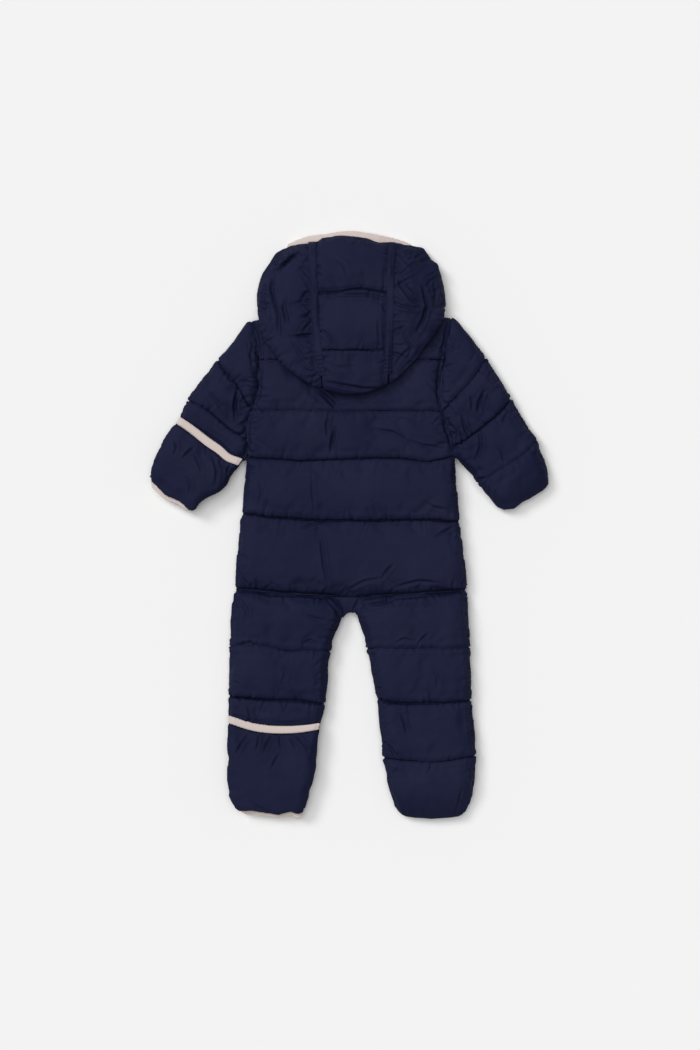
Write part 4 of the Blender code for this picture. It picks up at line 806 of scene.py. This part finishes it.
HOOD_RIGHT_CREASES = (
    ((65, 326), (68, 316), (80, 298), (95, 288), 2.1, 2.0),
    ((95, 288), (85, 284), (68, 288), (58, 294), 1.8, 2.0),
    ((98, 316), (103, 292), (98, 272), (90, 256), 2.5, 2.3), ((62, 268), (68, 260), (66, 248), 1.0, 1.7),
    ((72, 248), (84, 232), (78, 220), 1.0, 2.2), ((112, 330), (116, 308), (112, 284), 1.0, 2.2),
    ((70, 352), (80, 344), (92, 342), 0.9, 1.9), ((60, 210), (68, 222), (82, 232), 0.9, 1.9),
)
LEFT_FELL = ((-50, 375), (-47.5, 330), (-43.5, 250), (-36.5, 196))
RIGHT_FELL = ((56.5, 375), (54.5, 330), (53, 250), (50.5, 198))
HOOD_CENTRE_CREASES += gathered(LEFT_FELL, 611, 1, 15, 0.8, 11) + gathered(RIGHT_FELL, 612, -1, 15, 0.8, 11)
HOOD_CENTRE_CREASES += gathered(((-48, 384), (0, 389), (50, 384)), 613, -1, 14, 0.9, 9)
HOOD_LEFT_CREASES += gathered(LEFT_FELL, 621, -1, 32, 1.1, 9)
HOOD_LEFT_CREASES += gathered(((-66, 372), (-100, 350), (-122, 300), (-124, 270), (-110, 230), (-80, 196),
                               (-45, 172)), 622, 1, 20, 1.0, 8)
HOOD_RIGHT_CREASES += gathered(RIGHT_FELL, 631, 1, 32, 1.1, 9)
HOOD_RIGHT_CREASES += gathered(((71, 372), (105, 350), (126, 300), (128, 270), (112, 225), (85, 195),
                                (52, 172)), 632, -1, 20, 1.0, 8)
HOOD_TUGS = (
    (-91, 371, 2.0, -2.5, 9), (-66, 376, 0, -2.0, 11), (-49, 380, 0, -5, 10), (-14, 386, 0, 1.8, 15),
    (38, 383, 0, -5.2, 11), (71, 378, 0, -1.8, 9), (100, 362, 4.0, 1.5, 12), (112, 348, 5.0, 1.0, 11),
    (-99, 360, -3.5, 2.5, 13), (52, 380, 0, -1.8, 9),
)
quilted("hood_centre", HOOD_CENTRE_LINES, HOOD_CENTRE_CREASES, 61,
        joins=(("hood_side_left", 3, 3), ("hood_side_right", 3, 3)), tugs=HOOD_TUGS)
quilted("hood_side_left", (), HOOD_LEFT_CREASES, 62, swell=2.5, rough=0.9,
        joins=(("hood_centre", 3, 3),), tugs=HOOD_TUGS)
quilted("hood_side_right", (), HOOD_RIGHT_CREASES, 63, swell=2.5, rough=0.9,
        joins=(("hood_centre", 3, 3),), tugs=HOOD_TUGS)


def felled_seam(name, path, half, sides):
    """A hood seam whose allowances are folded flat outside and stitched down along both edges."""
    below = [net(bpy.data.objects[side].data) for side in sides]
    steps, columns = 150, 8
    ys = np.linspace(path[0][0], path[-1][0], steps)
    middles = np.interp(-ys, [-y for y, x in path], [x for y, x in path])
    rows = []
    for y, middle in zip(ys, middles):
        heights = []
        for k in range(columns + 1):
            spot = Vector((middle + half * (2 * k / columns - 1), y, 90))
            hits = [tree.ray_cast(spot, Vector((0, 0, -1)))[0] for tree in below]
            heights.append(max([hit.z for hit in hits if hit is not None], default=0.0))
        rows.append(heights)
    rows = np.pad(np.array(rows), ((6, 6), (0, 0)), "edge")
    highest = np.max([rows[k:len(rows) - 6 + k] for k in range(7)], axis=0)
    rows = np.mean([highest[k:len(highest) - 6 + k] for k in range(7)], axis=0)
    ladder = np.clip((LADDER_FROM - ys) / 12, 0, 1) * np.sin(2 * math.pi * ys / LADDER_PITCH)
    corners = []
    for i, (y, middle) in enumerate(zip(ys, middles)):
        for k in range(columns + 1):
            share = k / columns
            crown = 1 - (2 * share - 1) ** 6
            level = rows[i, 0] * (1 - share) + rows[i, -1] * share
            z = max(rows[i, k], level) + (0.45 + 0.8 * ladder[i]) * crown - 0.5 * (1 - crown)
            corners.append((middle + half * (2 * share - 1), y, z))
    faces = []
    for i in range(steps - 1):
        for k in range(columns):
            a = i * (columns + 1) + k
            faces.append((a, a + columns + 1, a + columns + 2, a + 1))
    band = make(name, corners, faces, navy_nylon)
    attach(band, "garment")
    rims = [[(x + way * (half - 1.1), y) for y, x in zip(ys, middles)] for way in (-1, 1)]
    stitch_rows(name + "_stitches", band, rims, long=2.2, gap=0.7, thick=0.36)


LADDER_FROM, LADDER_PITCH = 236.0, 5.3
felled_seam("hood_seam_left_felled", ((376.5, -50.0), (330, -47.5), (250, -43.5), (196, -36.5)), 5.3,
            ["hood_centre_quilted", "hood_side_left_quilted"])
felled_seam("hood_seam_right_felled", ((375.5, 56.5), (330, 54.5), (250, 53.0), (198, 50.5)), 5.0,
            ["hood_centre_quilted", "hood_side_right_quilted"])


# ---- ribbed bindings
# Pale rose strips cut on the bias from a finely ribbed jersey, folded over the raw edge and sewn:
# one round the face, and one at each open mouth of the mitts and booties and at the hems beside them.
BRIM_X = (-78, -54, -32, -11, 4, 20, 42, 58, 70, 79)
BRIM_DX = (-4, -2, 0, 0, 0, 0, 0, 3, 7, 12)
BRIM_DY = (-6.3, -3.4, -4.5, -2.3, -1.9, -3.2, -4.6, -5.6, -7.5, -11.5)


def pull_brim(points):
    """Draws the brim's binding in and down, and tucks its lower side in under the hood's edge."""
    share = np.clip((points[:, 1] - 345) / 25, 0, 1)
    middle = 391.3 - 14 * (points[:, 0] / 88) ** 2
    tuck = np.where(np.abs(points[:, 0]) < 84, np.clip((middle - points[:, 1]) / 4.4, 0, 1), 0)
    shift_x = np.interp(points[:, 0], BRIM_X, BRIM_DX)
    shift_y = np.interp(points[:, 0], BRIM_X, BRIM_DY) - 3.5 * tuck
    points[:, 0] += shift_x * share
    points[:, 1] += shift_y * share


def binding(node, way, tugs=()):
    """A folded strip, ribbed across its run at a slant."""
    piece = drape_over(node, node + "_ribbed", 1.1)
    points, ways = places(piece), facings(piece)
    slant = points[:, 0] * way[0] + points[:, 1] * way[1] + 0.4 * points[:, 2]
    lift = RIB_HIGH * np.sin(slant * 2 * math.pi / RIB_PITCH)
    points += ways * lift[:, None]
    points[:, 2] = np.maximum(points[:, 2], 0.0)
    if node == "hood_binding":
        pull_brim(points)
    tug(tugs, points)
    put(piece, points)
    dress(piece, rose_jersey)
    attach(piece, "garment")
    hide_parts(node)


# Brushed cotton jersey with fine ribs. The ribs are real relief, and the colour is painted darker in their
# grooves as painted shade.
RIB_HIGH, RIB_PITCH = 0.22, 3.1
ROSE = (0.66, 0.57, 0.53)
rose_jersey, add, where = start_material("rose_jersey")
ribs = add("TexWave", {"Scale": 330, "Distortion": 0.8}, Vector=where)
ribs.bands_direction = "DIAGONAL"
# painted shade: the colour runs darker down into each rib groove
surface_colour = shades(add, ribs.outputs["Fac"], tinted(ROSE, 0.86, 0.84, 0.84), ROSE)
nap = relief(add, add("TexNoise", {"Scale": 1500}, Vector=where).outputs["Fac"], 0.4, 0.2)
add("shader", {"Roughness": 0.9, "Specular IOR Level": 0.15, "Sheen Weight": 0.15}, Base_Color=surface_colour,
    Normal=relief(add, ribs.outputs["Fac"], 0.5, 0.3, Normal=nap))

binding("hood_binding", (0.8, 0.6))
LEFT_MOUTH_TUGS = ((-182, 104, -2.7, -4.0, 30),)
LEFT_BOOT_TUGS = ((-160, -262, 0, 3.4, 26),)
binding("mitt_binding_left", (0.5, 0.87),
        LEFT_HAND_TUGS + LEFT_MOUTH_TUGS)
binding("mitt_binding_right", (0.5, 0.87))
binding("boot_binding_left", (0.8, 0.6),
        LEFT_FOOT_TUGS + LEFT_BOOT_TUGS)
binding("boot_binding_right", (0.8, 0.6))
binding("cuff_binding_left", (0.5, 0.87), LEFT_HAND_TUGS)
binding("ankle_binding_left", (0.8, 0.6), LEFT_FOOT_TUGS)


# ---- mitt and bootie scoops
# Padded hoods for the hands and feet, in the same nylon. The left pair lie open over the limb,
# gathered into their bound mouth; the right pair are turned over the end and lie beneath it.
TURNED_FLAT = 0.235  # the turned end lies pressed under the limb
MITT_CREASES = (
    ((-221, 88), (-214, 96), (-205, 104), 1.4, 1.6), ((-205, 94), (-198, 82), (-194, 70), 1.4, 1.7),
    ((-178, 91), (-174, 72), (-174, 51), 1.6, 1.9), ((-154, 82), (-158, 75), (-158, 67), 1.4, 1.6),
    ((-232, 112), (-229, 102), (-232, 92), 1.0, 1.6), ((-190, 112), (-187, 104), (-188, 96), 1.0, 1.4),
    ((-166, 98), (-167, 90), (-170, 84), 1.0, 1.4), ((-214, 62), (-205, 52), (-203, 42), 0.9, 1.9),
)
BOOT_CREASES = (
    ((-134, -280), (-143, -292), (-150, -304), 1.4, 1.7),
    ((-103, -280), (-110, -292), (-113, -302), 1.6, 1.7),
    ((-82, -280), (-74, -289), (-70, -297), 1.4, 1.6), ((-70, -280), (-60, -290), (-51, -300), 1.4, 1.6),
    ((-103, -324), (-99, -315), (-93, -306), 0.9, 1.7), ((-120, -282), (-121, -292), (-124, -300), 1.1, 1.4),
    ((-92, -281), (-92, -289), (-90, -297), 1.1, 1.4), ((-130, -368), (-122, -376), (-112, -380), 0.9, 1.7),
)
quilted("mitt_flap_left", (), MITT_CREASES, 71, swell=1.5, rough=0.4,
        tugs=LEFT_HAND_TUGS + LEFT_MOUTH_TUGS)
quilted("boot_flap_left", (), BOOT_CREASES, 72, swell=1.5, rough=0.4,
        tugs=LEFT_FOOT_TUGS + LEFT_BOOT_TUGS)
for node, seed, hem in (("mitt_flap_right", 73, RIGHT_MITT_HEM), ("boot_flap_right", 74, RIGHT_BOOT_HEM)):
    turned = quilted(node, (), (), seed, 2.8, 0, 0.3)
    spots = places(turned)
    past, depth, out = past_hem(hem, spots)
    spots[:, 2] *= np.where(past > 0, TURNED_FLAT, 1)
    spots[:, :2] -= np.outer(0.08 * np.clip(past, 0, None), out)
    put(turned, spots)


# ---- zip
# A plain coil zip down the middle of the front: two woven tapes, nylon coils, and a metal slider
# with a flat pull on a hinge. It faces the surface.
zip_low, zip_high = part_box("zip_chain")
TAPE_THICK = 0.6
tape_twill = nylon("zip_twill", NAVY, 0.5, 0.8)
for side in ("left", "right"):
    node = "zip_tape_" + side
    low, high = (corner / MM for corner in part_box(node))
    rings = []
    for y in np.linspace(low.y, high.y, 161):
        wave = 0.12 * math.sin(y * 0.9)
        top = [(low.x + (high.x - low.x) * k / 4, y, high.z - 0.35 + wave * (k / 4 - 0.5)) for k in range(5)]
        rings.append(top + [(x, y, z - TAPE_THICK) for x, y, z in reversed(top)])
    corners, faces = [], []
    skin_rings(corners, faces, rings)
    tape = make(node + "_woven", corners, faces, tape_twill, smooth=False)
    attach(tape, "garment")
    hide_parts(node)


def uneven_polish(add, pattern, least, most):
    """A roughness that varies with a pattern."""
    return add("MapRange", {"To Min": least, "To Max": most}, Value=pattern).outputs["Result"]


# The coils are of drawn nylon wire, with a faintly uneven polish.
COIL_PITCH, COIL_HALF, WIRE_RADIUS = 1.6, 0.95, 0.36
coil_nylon, add, where = start_material("coil_nylon")
polish = add("TexNoise", {"Scale": 600}, Vector=where).outputs["Fac"]
add("shader", {"Base Color": (0.014, 0.016, 0.034, 1)}, Roughness=uneven_polish(add, polish, 0.32, 0.48))

corners, faces = [], []
turns = int((zip_high.y - zip_low.y) / MM / COIL_PITCH) - 1
mid_z = (zip_low.z + zip_high.z) / 2 / MM
for turn in range(turns):
    for side in (-1, 1):
        y = zip_low.y / MM + 0.8 + (turn + (0.5 if side > 0 else 0)) * COIL_PITCH
        rings = []
        for a in (2 * math.pi * k / 10 for k in range(10)):
            across, rise = math.cos(a), math.sin(a)
            centre = Vector((side * COIL_HALF * (1 + across), y + 0.18 * across, mid_z + 0.8 * rise))
            out = Vector((side * across, 0, rise))
            rings.append([centre + (out * math.cos(b) + Vector((0, 1, 0)) * math.sin(b)) * WIRE_RADIUS
                          for b in (2 * math.pi * m / 5 for m in range(5))])
        skin_rings(corners, faces, rings, closed=True, turned=side < 0)
coils = make("zip_coils", corners, faces, coil_nylon)
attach(coils, "garment")
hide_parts("zip_chain")


# The slider and its pull are nickel-plated zinc with fine brushing and worn, duller patches.
nickel, add, where = start_material("nickel")
wear = add("TexNoise", {"Scale": 400, "Detail": 6}, Vector=where).outputs["Fac"]
add("shader", {"Base Color": (0.52, 0.51, 0.5, 1), "Metallic": 1}, Normal=relief(add, wear, 0.15, 0.05),
    Roughness=uneven_polish(add, wear, 0.22, 0.5))
for node in ("zip_slider", "zip_pull"):
    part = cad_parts[node]
    part.data.materials.clear()
    part.data.materials.append(nickel)
    edge = part.modifiers.new("rounded", "BEVEL")
    edge.width = 0.25 * MM
    edge.segments = 2


# ---- surface, light and camera
# A pale matt surface under soft studio light from the upper left. The camera looks straight down.
surface_paint, add, where = start_material("surface_paint")
add("shader", {"Base Color": (0.86, 0.86, 0.86, 1), "Roughness": 0.9, "Specular IOR Level": 0.0})
REACH = 40000  # so far that its edge never shows
corners = [(-REACH, -REACH, 0), (REACH, -REACH, 0), (REACH, REACH, 0), (-REACH, REACH, 0)]
surface = make("surface", corners, [(0, 1, 2, 3)], surface_paint, smooth=False)
surface.location.z = -0.1 * MM

world = bpy.data.worlds.new("studio")
bpy.context.scene.world = world
world.use_nodes = True
world.node_tree.nodes["Background"].inputs["Color"].default_value = (1, 1, 1, 1)
world.node_tree.nodes["Background"].inputs["Strength"].default_value = 0.2


def distant_light(name, direction, spread, strength):
    """A large, far and soft studio light that shines along a direction."""
    lamp = bpy.data.lights.new(name, "SUN")
    lamp.angle = math.radians(spread)
    lamp.energy = strength
    box = bpy.data.objects.new(name, lamp)
    box.rotation_mode = "QUATERNION"
    box.rotation_quaternion = Vector(direction).to_track_quat("-Z", "Y")
    bpy.context.scene.collection.objects.link(box)


distant_light("overhead", (0.1, -0.1, -1), 50, 1.75)
distant_light("key", (0.8, -0.62, -1), 22, 1.3)

camera_data = bpy.data.cameras.new("camera")
camera_data.lens = 85
camera_data.sensor_width = 36
camera_data.clip_end = 120
camera = bpy.data.objects.new("camera", camera_data)
camera.location = (0.00063, -0.00096, 3.32)
bpy.context.scene.collection.objects.link(camera)
bpy.context.scene.camera = camera
bpy.context.scene.view_settings.view_transform = "Standard"
